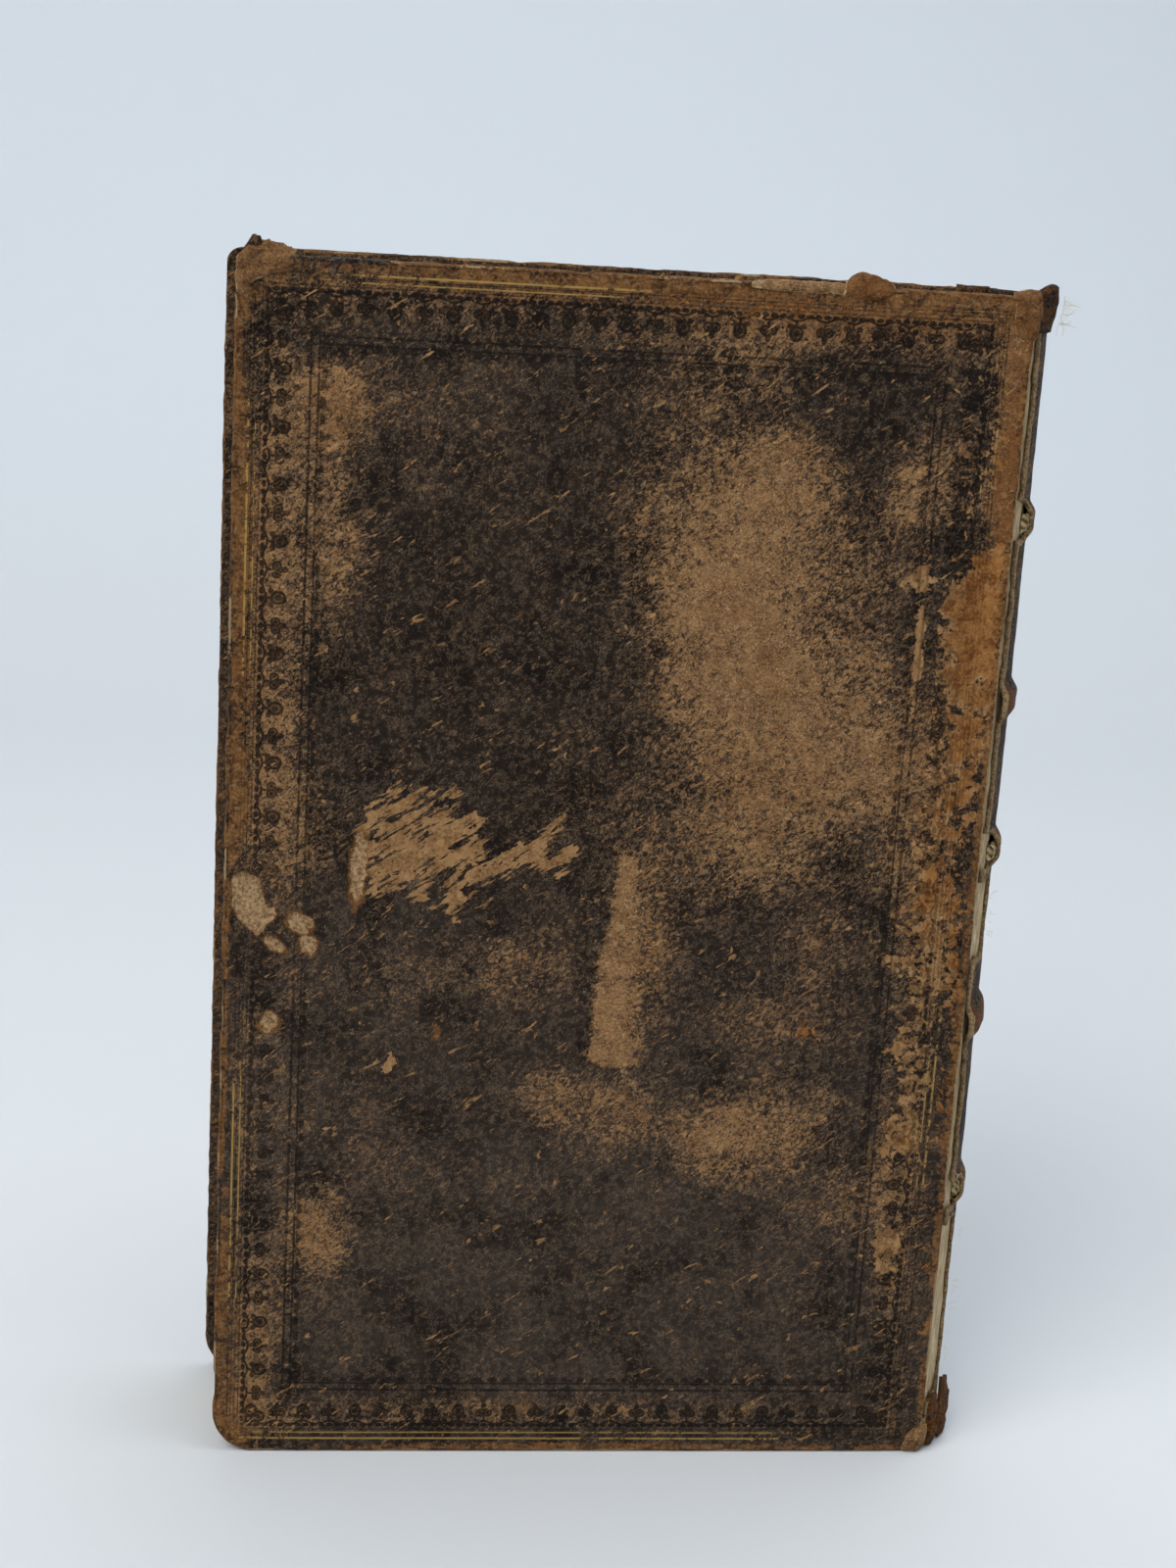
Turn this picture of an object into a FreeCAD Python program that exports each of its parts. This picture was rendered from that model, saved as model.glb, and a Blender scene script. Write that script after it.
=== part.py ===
import FreeCAD, Part
import math
import os

import Sketcher

# Antique book bound in tooled leather over boards, standing upright on its tail.
# The rear cover faces -Y, the spine faces +X and the origin is at the middle of the base.

V = FreeCAD.Vector
document = FreeCAD.newDocument("antique_book")

# Driving sizes in millimetres. Heights run up from the tail, insets in from a cover's edge.
sizes = {
    "cover_height": 195.0,
    "cover_width": 120.5,
    "book_thickness": 31.0,
    "lean": 2.7,                    # how far the front cover slips towards the fore-edge
    "skin_thickness": 0.7,
    "turn_in_thickness": 0.4,
    "turn_in_width": 13.0,
    "board_thickness": 2.6,
    "board_clearance": 0.04,
    "head_corner_radius": 2.6,
    "tail_corner_radius": 7.0,
    "edge_rounding": 0.55,
    "pastedown_thickness": 0.15,
    "pastedown_margin": 2.5,
    "leaf_gap": 0.25,
    "joint_gap": 0.65,
    "head_square": 3.0,             # how far the covers stand past the pages
    "fore_square": 3.2,
    "fore_edge_hollow": 3.5,
    "spine_rise": 6.0,
    "spine_inset": 0.95,
    "glue_gap": 0.03,
    "section_count": 15,
    "fold_width": 0.9,
    "fold_depth": 0.6,
    "cord_width": 2.8,
    "cord_height": 1.1,
    "band_width": 5.2,
    "band_height": 1.3,
    "band_1": 47.0,
    "band_2": 77.5,
    "band_3": 106.0,
    "band_4": 131.0,
    "band_5": 160.0,
    "cap_thickness": 0.8,
    "cap_reach": 2.6,
    "endband_diameter": 1.9,
    "slip_width": 2.6,
    "slip_depth": 0.7,
    "slip_outer_run": 9.0,
    "slip_hole_length": 1.6,
    "slip_inner_run": 8.0,
    "slip_clearance": 0.04,
    "tool_depth": 0.25,
    "line_width": 0.4,
    "gilt_line_inset": 2.5,
    "inner_line_inset": 12.2,
    "line_spacing": 1.0,
    "border_inset": 7.5,            # centre line of the rows of stamped ornaments
    "ornament_pitch": 4.35,
    "leaf_stamp_width": 2.3,
    "leaf_stamp_height": 2.7,
    "flower_stamp_width": 2.2,
    "tear_height": 94.0,            # torn leather near the rear cover's fore-edge
    "tear_inset": 4.0,
    "tear_length": 13.0,
    "tear_width": 4.4,
    "lobe_height": 90.3,
    "lobe_inset": 11.8,
    "lobe_length": 5.6,
    "lobe_width": 4.0,
    "scrape_height": 101.6,
    "scrape_inset": 20.7,
    "scrape_length": 9.0,
    "scrape_width": 2.8,
    "upper_loss_low": 88.0,         # spine leather lost beside the rear joint
    "upper_loss_high": 101.0,
    "lower_loss_low": 8.0,
    "lower_loss_high": 41.5,
    "loss_depth": 8.2,
}

upward = V(0, 0, 1)


def make_sheet():
    """The spreadsheet that holds every driving size under its alias."""
    sheet = document.addObject("Spreadsheet::Sheet", "sizes")
    for row, (name, size) in enumerate(sizes.items(), start=1):
        sheet.set(f"A{row}", name)
        sheet.set(f"B{row}", str(size))
        sheet.setAlias(f"B{row}", name)
    document.recompute()


make_sheet()
layout = document.addObject("App::VarSet", "layout")


def derive(name, expression):
    """Adds a worked-out length to the layout, tied to the sheet by its expression."""
    layout.addProperty("App::PropertyFloat", name, "Derived")
    layout.setExpression(name, expression)
    document.recompute()


def value(expression):
    """The number that an expression stands for just now."""
    result = layout.evalExpression(str(expression))
    return float(getattr(result, "Value", result))


def in_spine_frame(along, across):
    """Two expressions for a point of the book, seen from the middle of the spine's round back."""
    along, across = f"({along} - layout.spine_x)", f"({across} - layout.spine_y)"
    turn = "layout.lean_angle"
    return (f"{along} * cos({turn}) + {across} * sin({turn})",
            f"{across} * cos({turn}) - {along} * sin({turn})")


def derive_layout():
    """Works out where the round spine, the pages and the covers lie."""
    derive("lean_angle", "atan(sizes.lean / sizes.book_thickness) / 1deg")
    derive("half_chord", "hypot(sizes.book_thickness; sizes.lean) / 2 - sizes.spine_inset")
    derive("leather_radius", "(layout.half_chord ^ 2 + sizes.spine_rise ^ 2) / (2 * sizes.spine_rise)")
    derive("back_radius", "layout.leather_radius - sizes.skin_thickness")
    derive("chord_reach", "layout.leather_radius - sizes.spine_rise")
    derive("half_angle", "acos(layout.chord_reach / layout.back_radius) / 1deg")
    derive("block_radius", "layout.back_radius - sizes.glue_gap")
    # The centre of the spine, measured from the rear cover's fore-edge until the shift is known.
    derive("centre_from_edge", "sizes.cover_width + sizes.joint_gap - sizes.lean / 2"
                               " - layout.chord_reach * cos(layout.lean_angle)")
    derive("spine_reach", "layout.centre_from_edge + layout.leather_radius + sizes.band_height")
    derive("fore_x", "(sizes.lean - layout.spine_reach) / 2")
    derive("spine_x", "layout.fore_x + layout.centre_from_edge")
    derive("spine_y", "0 - layout.chord_reach * sin(layout.lean_angle)")
    derive("cover_thickness", "sizes.skin_thickness + sizes.board_thickness + sizes.turn_in_thickness")
    derive("half_block", "sizes.book_thickness / 2 - layout.cover_thickness"
                         " - sizes.pastedown_thickness - sizes.leaf_gap")
    derive("page_height", "sizes.cover_height - 2 * sizes.head_square")
    derive("border_pair", "2 * sizes.ornament_pitch")


derive_layout()


def new_body(name, x="0", y="0", z="0", turn=None):
    """A body of its own for one sub-part, placed by expressions."""
    body = document.addObject("PartDesign::Body", name)
    body.Label = name
    body.Placement = FreeCAD.Placement(V(0, 0, 0), FreeCAD.Rotation(upward, 1.0 if turn else 0.0))
    for axis, expression in (("x", x), ("y", y), ("z", z)):
        body.setExpression(f"Placement.Base.{axis}", expression)
    if turn:
        body.setExpression("Placement.Rotation.Angle", turn)
    return body


def spine_body(name, z="0"):
    """A body whose own Z axis is the centre line of the round spine."""
    return new_body(name, "layout.spine_x", "layout.spine_y", z, "layout.lean_angle")


def new_sketch(body, name, plane, lift="0", turn=None):
    """A sketch on one of the body's own planes, lifted along the plane's normal."""
    sketch = body.newObject("Sketcher::SketchObject", f"{body.Label}_{name}")
    support = next(item for item in body.Origin.OriginFeatures if item.Role == plane)
    sketch.AttachmentSupport = [(support, "")]
    sketch.MapMode = "FlatFace"
    sketch.AttachmentOffset = FreeCAD.Placement(V(0, 0, 0), FreeCAD.Rotation(upward, 1.0 if turn else 0.0))
    sketch.setExpression("AttachmentOffset.Base.z", lift)
    if turn:
        sketch.setExpression("AttachmentOffset.Rotation.Angle", turn)
    return sketch


def arc_between(start, end, rise):
    """The arc from start to end that bulges to the right of the way by rise, and its end marks."""
    run = end - start
    half = run.Length / 2
    radius = (half ** 2 + rise ** 2) / (2 * abs(rise))
    right = V(run.y, -run.x, 0) / run.Length
    centre = (start + end) * 0.5 + right * (rise - math.copysign(radius, rise))
    angles = [math.atan2(point.y - centre.y, point.x - centre.x) for point in (start, end)]
    circle = Part.Circle(centre, upward, radius)
    if rise > 0:
        return Part.ArcOfCircle(circle, angles[0], angles[1]), 1, 2
    return Part.ArcOfCircle(circle, angles[1], angles[0]), 2, 1


def trace(sketch, corners, rises=None):
    """Draws a closed outline through corners of two expressions each; an edge with a rise is an arc."""
    rises = rises or {}
    first = sketch.GeometryCount
    points = [V(value(x), value(y), 0) for x, y in corners]
    count = len(points)
    marks = []
    for index, start in enumerate(points):
        end = points[(index + 1) % count]
        edge, head, tail = Part.LineSegment(start, end), 1, 2
        if index in rises:
            edge, head, tail = arc_between(start, end, value(rises[index]))
        sketch.addGeometry(edge, False)
        marks.append((head, tail))
    for index, (x, y) in enumerate(corners):
        following = (index + 1) % count
        sketch.addConstraint(Sketcher.Constraint(
            "Coincident", first + index, marks[index][1], first + following, marks[following][0]))
        for kind, expression, number in (("DistanceX", x, points[index].x), ("DistanceY", y, points[index].y)):
            row = sketch.addConstraint(Sketcher.Constraint(
                kind, -1, 1, first + index, marks[index][0], number))
            sketch.setExpression(f"Constraints[{row}]", str(expression))
        if index in rises:
            x_end, y_end = corners[following]
            half = f"hypot(({x_end}) - ({x}); ({y_end}) - ({y})) / 2"
            rise = f"({rises[index]})"
            row = sketch.addConstraint(Sketcher.Constraint(
                "Radius", first + index, sketch.Geometry[first + index].Radius))
            sketch.setExpression(f"Constraints[{row}]", f"(({half}) ^ 2 + {rise} ^ 2) / (2 * abs({rise}))")


def box_corners(left, low, right, high):
    """The corners of an upright rectangle."""
    return [(left, low), (right, low), (right, high), (left, high)]


def extrude(body, kind, sketch, length, reverse=False):
    """A Pad or a Pocket of the sketch, along its normal or against it."""
    feature = body.newObject(f"PartDesign::{kind}", f"{sketch.Name}_{kind.lower()}")
    feature.Profile = sketch
    feature.Reversed = reverse
    feature.setExpression("Length", length)
    document.recompute()
    return feature


def revolve(body, kind, sketch, angle):
    """A Revolution or a Groove about the spine's centre line, the same way to both sides."""
    feature = body.newObject(f"PartDesign::{kind}", f"{sketch.Name}_{kind.lower()}")
    feature.Profile = sketch
    feature.ReferenceAxis = (sketch, ["V_Axis"])
    feature.Midplane = True
    feature.setExpression("Angle", angle)
    document.recompute()
    return feature


def round_edges(body, wanted, radius):
    """Fillets the edges of the body's tip that the test picks."""
    tip = body.Tip
    names = [f"Edge{index}" for index, edge in enumerate(tip.Shape.Edges, start=1) if wanted(edge)]
    feature = body.newObject("PartDesign::Fillet", f"{tip.Name}_rounded")
    feature.Base = (tip, names)
    feature.setExpression("Radius", radius)
    document.recompute()
    return feature


leather_span = "2 * layout.half_angle"
bands = [f"sizes.band_{index}" for index in range(1, 6)]
quarter_rise = "(1 - sqrt(0.5))"    # rise of a quarter circle, as a share of its radius


def make_text_block():
    """The sewn pages: a round back with the folds of its sections, shoulders and a hollow fore-edge."""
    body = spine_body("text_block", "sizes.head_square")
    rear_edge = in_spine_frame("(layout.fore_x + sizes.fore_square)", "(0 - layout.half_block)")
    front_edge = in_spine_frame("(layout.fore_x + sizes.fore_square - sizes.lean)", "layout.half_block")
    shoulder = "layout.block_radius * cos(layout.half_angle)"
    side = "layout.block_radius * sin(layout.half_angle)"
    drift = f"layout.spine_y + {shoulder} * sin(layout.lean_angle)"
    rear_side = f"(0 - layout.half_block - ({drift})) / cos(layout.lean_angle)"
    front_side = f"(layout.half_block - ({drift})) / cos(layout.lean_angle)"
    outline = new_sketch(body, "outline", "XY_Plane")
    trace(outline,
          [rear_edge, (shoulder, rear_side), (shoulder, f"0 - {side}"),
           (shoulder, side), (shoulder, front_side), front_edge],
          {2: f"layout.block_radius - {shoulder}", 5: "0 - sizes.fore_edge_hollow"})
    extrude(body, "Pad", outline, "layout.page_height")
    fold_step = "(2 * layout.half_angle / sizes.section_count)"
    fold = new_sketch(body, "fold", "XY_Plane", turn=f"{fold_step} - layout.half_angle")
    trace(fold, [("layout.block_radius - sizes.fold_depth", "0"),
                 ("layout.block_radius + sizes.fold_depth", "0 - sizes.fold_width"),
                 ("layout.block_radius + sizes.fold_depth", "sizes.fold_width")])
    groove = extrude(body, "Pocket", fold, "layout.page_height", reverse=True)
    folds = body.newObject("PartDesign::PolarPattern", "text_block_folds")
    folds.Originals = [groove]
    folds.Axis = (fold, ["N_Axis"])
    folds.setExpression("Angle", f"{fold_step} * (sizes.section_count - 2)")
    folds.setExpression("Occurrences", "sizes.section_count - 1")
    body.Tip = folds
    document.recompute()
    return body


def trace_ridge(sketch, height, foot, width, rise, spare="0"):
    """The section of a flattened ridge round the back: a cord, a band or, with some spare, its hollow."""
    reach, crest = f"({width} / 2 + {spare})", f"({width} / 4 + {spare})"
    top = f"{foot} + {rise} + {spare}"
    trace(sketch, [(foot, f"{height} - {reach}"), (top, f"{height} - {crest}"),
                   (top, f"{height} + {crest}"), (foot, f"{height} + {reach}")])


def make_sewing_cord(index, height):
    """One of the flattened cords that the sections are sewn on."""
    body = spine_body(f"sewing_cord_{index}")
    section = new_sketch(body, "section", "XZ_Plane")
    trace_ridge(section, height, "(layout.block_radius + sizes.glue_gap)", "sizes.cord_width", "sizes.cord_height")
    revolve(body, "Revolution", section, leather_span)
    return body


def make_spine_leather():
    """The leather over the round back, raised over the cords and turned in over head and tail."""
    body = spine_body("spine_leather")
    field = new_sketch(body, "field", "XZ_Plane")
    trace(field, box_corners("layout.back_radius", "0", "layout.leather_radius", "sizes.cover_height"))
    revolve(body, "Revolution", field, leather_span)

    raised = new_sketch(body, "raised", "XZ_Plane")
    for height in bands:
        trace_ridge(raised, height, "(layout.leather_radius - sizes.skin_thickness / 2)", "sizes.band_width",
                    "(sizes.band_height + sizes.skin_thickness / 2)")
    revolve(body, "Revolution", raised, leather_span)

    caps = new_sketch(body, "caps", "XZ_Plane")
    inner, outer = "layout.back_radius - sizes.cap_reach", "layout.leather_radius - sizes.skin_thickness / 2"
    trace(caps, box_corners(inner, "0", outer, "sizes.cap_thickness"))
    trace(caps, box_corners(inner, "sizes.cover_height - sizes.cap_thickness", outer, "sizes.cover_height"))
    revolve(body, "Revolution", caps, "2 * asin(layout.half_block / layout.back_radius)")

    hollows = new_sketch(body, "hollows", "XZ_Plane")
    for height in bands:
        trace_ridge(hollows, height, "layout.block_radius", "sizes.cord_width",
                    "(sizes.cord_height + sizes.glue_gap)", "sizes.glue_gap")
    revolve(body, "Groove", hollows, leather_span)

    losses = new_sketch(body, "losses", "XZ_Plane", lift="layout.half_chord - sizes.loss_depth")
    for low, high in (("sizes.lower_loss_low", "sizes.lower_loss_high"),
                      ("sizes.upper_loss_low", "sizes.upper_loss_high")):
        trace(losses, box_corners("layout.chord_reach - sizes.spine_rise", low,
                                  "layout.leather_radius + sizes.band_height", high))
    extrude(body, "Pocket", losses, "2 * sizes.loss_depth", reverse=True)
    return body


def make_endband(name, height):
    """A sewn band of eight flats along the back edge of the pages, at the head or the tail."""
    body = spine_body(name)
    section = new_sketch(body, "section", "XZ_Plane")
    half = "sizes.endband_diameter / 2"
    near = f"({half} * tan(22.5))"
    middle = f"(layout.block_radius - {half})"
    flats = [(half, f"0 - {near}"), (half, near), (near, half), (f"0 - {near}", half),
             (f"0 - {half}", near), (f"0 - {half}", f"0 - {near}"), (f"0 - {near}", f"0 - {half}"),
             (near, f"0 - {half}")]
    trace(section, [(f"{middle} + {x}", f"{height} + {z}") for x, z in flats])
    # The band keeps between the covers, so its span is a little under the leather's.
    revolve(body, "Revolution", section, "2 * asin(layout.half_block / layout.block_radius)")
    return body


def trace_cover(sketch, inset, right):
    """A cover's outline, set in by inset, with its two rounded fore-edge corners."""
    tail, head = "sizes.tail_corner_radius", "sizes.head_corner_radius"
    top = "sizes.cover_height"
    trace(sketch,
          [(right, inset), (tail, inset), (inset, tail), (inset, f"{top} - {head}"),
           (head, f"{top} - ({inset})"), (right, f"{top} - ({inset})")],
          {1: f"({inset} - {tail}) * {quarter_rise}", 3: f"({inset} - {head}) * {quarter_rise}"})


def cover_body(side, name):
    """A body that starts at the outer face and fore-edge of one cover."""
    if side == "rear":
        return new_body(f"{side}_{name}", "layout.fore_x", "0 - sizes.book_thickness / 2")
    return new_body(f"{side}_{name}", "layout.fore_x - sizes.lean", "sizes.book_thickness / 2")


def depth(side, expression):
    """A lift along the plane's normal, which points out of the rear cover and into the front one."""
    return f"0 - ({expression})" if side == "rear" else f"{expression}"


def cover_sketch(body, side, name, deep="0"):
    """A sketch on a cover, at some depth under its outer face."""
    return new_sketch(body, name, "XZ_Plane", lift=depth(side, deep))


def fill_inward(body, side, sketch, thickness):
    """A pad from the sketch towards the pages."""
    return extrude(body, "Pad", sketch, thickness, reverse=side == "rear")


def cut_inward(body, side, sketch, thickness):
    """A pocket from the sketch towards the pages."""
    return extrude(body, "Pocket", sketch, thickness, reverse=side == "front")


def trace_frame(sketch, inset, spacing):
    """Two nested outlines, which leave a tooled line between them."""
    for edge in (inset, f"{inset} + {spacing}"):
        trace(sketch, box_corners(edge, edge, f"sizes.cover_width - ({edge})", f"sizes.cover_height - ({edge})"))


def stamp_rows(body, side, name, starts, axis, length):
    """Rows of leaf and flower stamps by turns, pressed along two opposite sides of the border."""
    sketch = cover_sketch(body, side, name)
    step_x, step_z = {"H_Axis": ("sizes.ornament_pitch", "0"), "V_Axis": ("0", "sizes.ornament_pitch")}[axis]
    leaf_x, leaf_z = "sizes.leaf_stamp_width / 2", "sizes.leaf_stamp_height / 2"
    flower = "sizes.flower_stamp_width / 2"
    for x, z in starts:
        trace(sketch, [(x, f"{z} - {leaf_z}"), (f"{x} + {leaf_x}", z),
                       (x, f"{z} + {leaf_z}"), (f"{x} - {leaf_x}", z)])
        next_x, next_z = f"{x} + {step_x}", f"{z} + {step_z}"
        trace(sketch, box_corners(f"{next_x} - {flower}", f"{next_z} - {flower}",
                                  f"{next_x} + {flower}", f"{next_z} + {flower}"))
    seed = cut_inward(body, side, sketch, "sizes.tool_depth")
    rows = body.newObject("PartDesign::LinearPattern", f"{body.Label}_{name}_rows")
    rows.Originals = [seed]
    rows.Direction = (sketch, [axis])
    rows.Mode = "Spacing"
    rows.Refine = False
    rows.setExpression("Offset", "layout.border_pair")
    rows.setExpression("Occurrences", f"max(2; floor(({length}) / layout.border_pair))")
    body.Tip = rows
    document.recompute()


def tool_border(body, side):
    """The double lines and the stamped border that frame a cover."""
    lines = cover_sketch(body, side, "lines")
    for inset in ("sizes.gilt_line_inset", "sizes.inner_line_inset"):
        trace_frame(lines, inset, "sizes.line_width")
        trace_frame(lines, f"{inset} + sizes.line_spacing", "sizes.line_width")
    cut_inward(body, side, lines, "sizes.tool_depth")
    near = "sizes.border_inset"
    far_x, far_z = f"(sizes.cover_width - {near})", f"(sizes.cover_height - {near})"
    second = f"({near} + sizes.ornament_pitch)"
    stamp_rows(body, side, "level_stamps", [(near, near), (near, far_z)], "H_Axis",
               f"sizes.cover_width - 2 * {near}")
    stamp_rows(body, side, "upright_stamps", [(near, second), (far_x, second)], "V_Axis",
               f"sizes.cover_height - 2 * {near} - sizes.ornament_pitch")


def tear_skin(body):
    """The places on the rear cover where the leather is gone and the board shows."""
    tears = cover_sketch(body, "rear", "tears")
    for name in ("tear", "lobe", "scrape"):
        x, z = f"sizes.{name}_inset", f"sizes.{name}_height"
        reach = f"sizes.{name}_length / 2"
        bulge = f"sizes.{name}_width / 2"
        trace(tears, [(x, f"{z} - {reach}"), (x, f"{z} + {reach}")], {0: bulge, 1: bulge})
    cut_inward(body, "rear", tears, "sizes.skin_thickness")


def make_cover_leather(side):
    """The leather of one cover, turned in over three edges of its board."""
    body = cover_body(side, "cover_leather")
    skin, width, thick = "sizes.skin_thickness", "sizes.cover_width", "layout.cover_thickness"
    outline = cover_sketch(body, side, "outline")
    trace_cover(outline, "0", width)
    fill_inward(body, side, outline, thick)
    limit = value(width)

    def on_outer_rim(edge):
        box = edge.BoundBox
        return max(abs(box.YMin), abs(box.YMax)) < 1e-3 and box.XMin < limit - 1e-3

    round_edges(body, on_outer_rim, "sizes.edge_rounding")
    room = cover_sketch(body, side, "room", skin)
    trace_cover(room, skin, width)
    cut_inward(body, side, room, "sizes.board_thickness")
    opening = cover_sketch(body, side, "opening", f"{thick} - sizes.turn_in_thickness")
    rim = "sizes.turn_in_width"
    trace(opening, box_corners(rim, rim, width, f"sizes.cover_height - {rim}"))
    cut_inward(body, side, opening, "sizes.turn_in_thickness")
    if side == "rear":
        tear_skin(body)
    tool_border(body, side)
    return body


def slip_runs(gap):
    """The ends and half width of a laced slip's runs: outside, through the board and back inside."""
    turn = "(sizes.cover_width - sizes.slip_outer_run)"
    hole = f"({turn} - sizes.slip_hole_length)"
    half = f"(sizes.slip_width / 2 - {gap})"
    outer = (f"{hole} + {gap}", "sizes.cover_width", half)
    through = (f"{hole} + {gap}", f"{turn} - {gap}", half)
    inner = (f"{hole} - sizes.slip_inner_run + {gap}", f"{turn} - {gap}", half)
    return outer, through, inner


def trace_slips(sketch, run):
    """The outlines of one run of all five slips."""
    left, right, half = run
    for height in bands:
        trace(sketch, box_corners(left, f"{height} - {half}", right, f"{height} + {half}"))


def make_board(side):
    """The pasteboard of one cover, with channels and holes for the cord slips."""
    body = cover_body(side, "board")
    gap, skin = "sizes.board_clearance", "sizes.skin_thickness"
    outline = cover_sketch(body, side, "outline", f"{skin} + {gap}")
    trace_cover(outline, f"({skin} + {gap})", "sizes.cover_width")
    fill_inward(body, side, outline, f"sizes.board_thickness - 2 * {gap}")
    outer, through, inner = slip_runs("0")
    under = f"{skin} + sizes.board_thickness - sizes.slip_depth"
    for name, run, deep, cut in (("channels", outer, skin, "sizes.slip_depth"),
                                 ("holes", through, skin, "sizes.board_thickness"),
                                 ("beds", inner, under, "sizes.slip_depth")):
        sketch = cover_sketch(body, side, name, deep)
        trace_slips(sketch, run)
        cut_inward(body, side, sketch, cut)
    return body


def make_cord_slips(side):
    """The frayed ends of the five cords, laced through one board."""
    body = cover_body(side, "cord_slips")
    gap, skin = "sizes.slip_clearance", "sizes.skin_thickness"
    outer, through, inner = slip_runs(gap)
    thin = f"sizes.slip_depth - 2 * {gap}"
    under = f"{skin} + sizes.board_thickness - sizes.slip_depth + {gap}"
    for name, run, deep, length in (("outer", outer, f"{skin} + {gap}", thin),
                                    ("through", through, f"{skin} + {gap}", f"sizes.board_thickness - 2 * {gap}"),
                                    ("inner", inner, under, thin)):
        sketch = cover_sketch(body, side, name, deep)
        trace_slips(sketch, run)
        fill_inward(body, side, sketch, length)
    return body


def make_pastedown(side):
    """The sheet pasted inside a cover, over the turn-ins and down onto the board between them."""
    body = cover_body(side, "pastedown")
    edge, thick = "sizes.pastedown_margin", "layout.cover_thickness"
    joint = "sizes.cover_width"
    leaf = cover_sketch(body, side, "leaf", thick)
    trace_cover(leaf, edge, joint)
    fill_inward(body, side, leaf, "sizes.pastedown_thickness")
    gap = "sizes.board_clearance"
    rim = f"(sizes.turn_in_width + {gap})"
    bed = cover_sketch(body, side, "bed", f"{thick} - sizes.turn_in_thickness + {gap}")
    trace(bed, box_corners(rim, rim, joint, f"sizes.cover_height - {rim}"))
    fill_inward(body, side, bed, f"sizes.turn_in_thickness - {gap}")
    return body


def build_parts():
    """Every separate piece of the book, in the order that a binder adds them."""
    parts = [make_text_block()]
    parts += [make_sewing_cord(index, height) for index, height in enumerate(bands, start=1)]
    seat = "(sizes.endband_diameter / 2 + sizes.glue_gap)"
    parts.append(make_endband("head_endband", f"(sizes.cover_height - sizes.head_square + {seat})"))
    parts.append(make_endband("tail_endband", f"(sizes.head_square - {seat})"))
    for side in ("rear", "front"):
        parts.append(make_board(side))
        parts.append(make_cord_slips(side))
        parts.append(make_cover_leather(side))
        parts.append(make_pastedown(side))
    parts.append(make_spine_leather())
    return parts


def check_parts(parts):
    """Stops with the names of objects that failed or of shapes that are no closed solids."""
    failed = [item.Name for item in document.Objects if {"Invalid", "Error"} & set(item.State)]
    poor = [part.Label for part in parts if part.Shape.isNull() or not part.Shape.isValid()
            or not part.Shape.Solids]
    if failed or poor:
        raise RuntimeError(f"failed objects: {failed}, poor shapes: {poor}")


def write_parts(parts):
    """Writes one STEP file for each piece."""
    os.makedirs("parts", exist_ok=True)
    for part in parts:
        part.Shape.exportStep(f"parts/{part.Label}.step")
        print(f"{part.Label:22s} solids {len(part.Shape.Solids)} volume {part.Shape.Volume:10.1f}")


book = build_parts()
document.recompute()
check_parts(book)
write_parts(book)
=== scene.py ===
import math

import bmesh
import bpy
import numpy as np
from mathutils import Matrix, Vector


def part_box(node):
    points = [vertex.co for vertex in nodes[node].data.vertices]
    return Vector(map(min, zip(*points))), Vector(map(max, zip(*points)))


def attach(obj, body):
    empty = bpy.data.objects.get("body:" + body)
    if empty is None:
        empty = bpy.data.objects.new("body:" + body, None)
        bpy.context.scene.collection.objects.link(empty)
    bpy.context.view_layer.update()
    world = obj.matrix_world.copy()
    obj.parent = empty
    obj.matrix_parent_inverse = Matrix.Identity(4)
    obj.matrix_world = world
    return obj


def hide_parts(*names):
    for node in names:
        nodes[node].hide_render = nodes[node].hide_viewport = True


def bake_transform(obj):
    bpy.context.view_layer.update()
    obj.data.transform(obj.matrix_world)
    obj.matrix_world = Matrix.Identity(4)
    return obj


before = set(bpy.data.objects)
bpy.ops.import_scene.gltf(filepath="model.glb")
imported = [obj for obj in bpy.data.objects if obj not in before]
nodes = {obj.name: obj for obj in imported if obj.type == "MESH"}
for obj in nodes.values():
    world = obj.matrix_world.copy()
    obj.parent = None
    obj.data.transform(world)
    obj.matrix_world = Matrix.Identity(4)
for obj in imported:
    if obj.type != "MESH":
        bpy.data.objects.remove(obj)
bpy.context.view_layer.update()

mm = 0.001
# The rear cover's outer corner at the tail and the fore-edge, in millimetres.
rearCorner = (-62.228, -15.5, 0)
cordRadius = 20.55
rollRadius = 19.1


def tone(code):
    parts = [int(code[i:i + 2], 16) / 255 for i in (1, 3, 5)]
    linear = [p / 12.92 if p <= 0.04045 else ((p + 0.055) / 1.055) ** 2.4 for p in parts]
    return (*linear, 1.0)


# Seeded value noise from -1 to 1, in the same units as the cell.
def softNoise(a, b, cell, seed):
    table = np.random.default_rng(seed).uniform(-1, 1, (97, 89))
    u = a / cell + 41.3
    v = b / cell + 23.7
    i = np.floor(u).astype(int)
    j = np.floor(v).astype(int)
    s = u - i
    t = v - j
    s = s * s * (3 - 2 * s)
    t = t * t * (3 - 2 * t)
    low = table[i % 97, j % 89] * (1 - s) + table[(i + 1) % 97, j % 89] * s
    high = table[i % 97, (j + 1) % 89] * (1 - s) + table[(i + 1) % 97, (j + 1) % 89] * s
    return low * (1 - t) + high * t


def layeredNoise(a, b, cell, seed, layers=3):
    total = np.zeros_like(a)
    for layer in range(layers):
        total += softNoise(a, b, cell / 2 ** layer, seed + layer) / 2 ** layer
    return total / 1.75


def easeStep(value, low, high):
    t = np.clip((value - low) / (high - low), 0, 1)
    return t * t * (3 - 2 * t)


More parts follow.
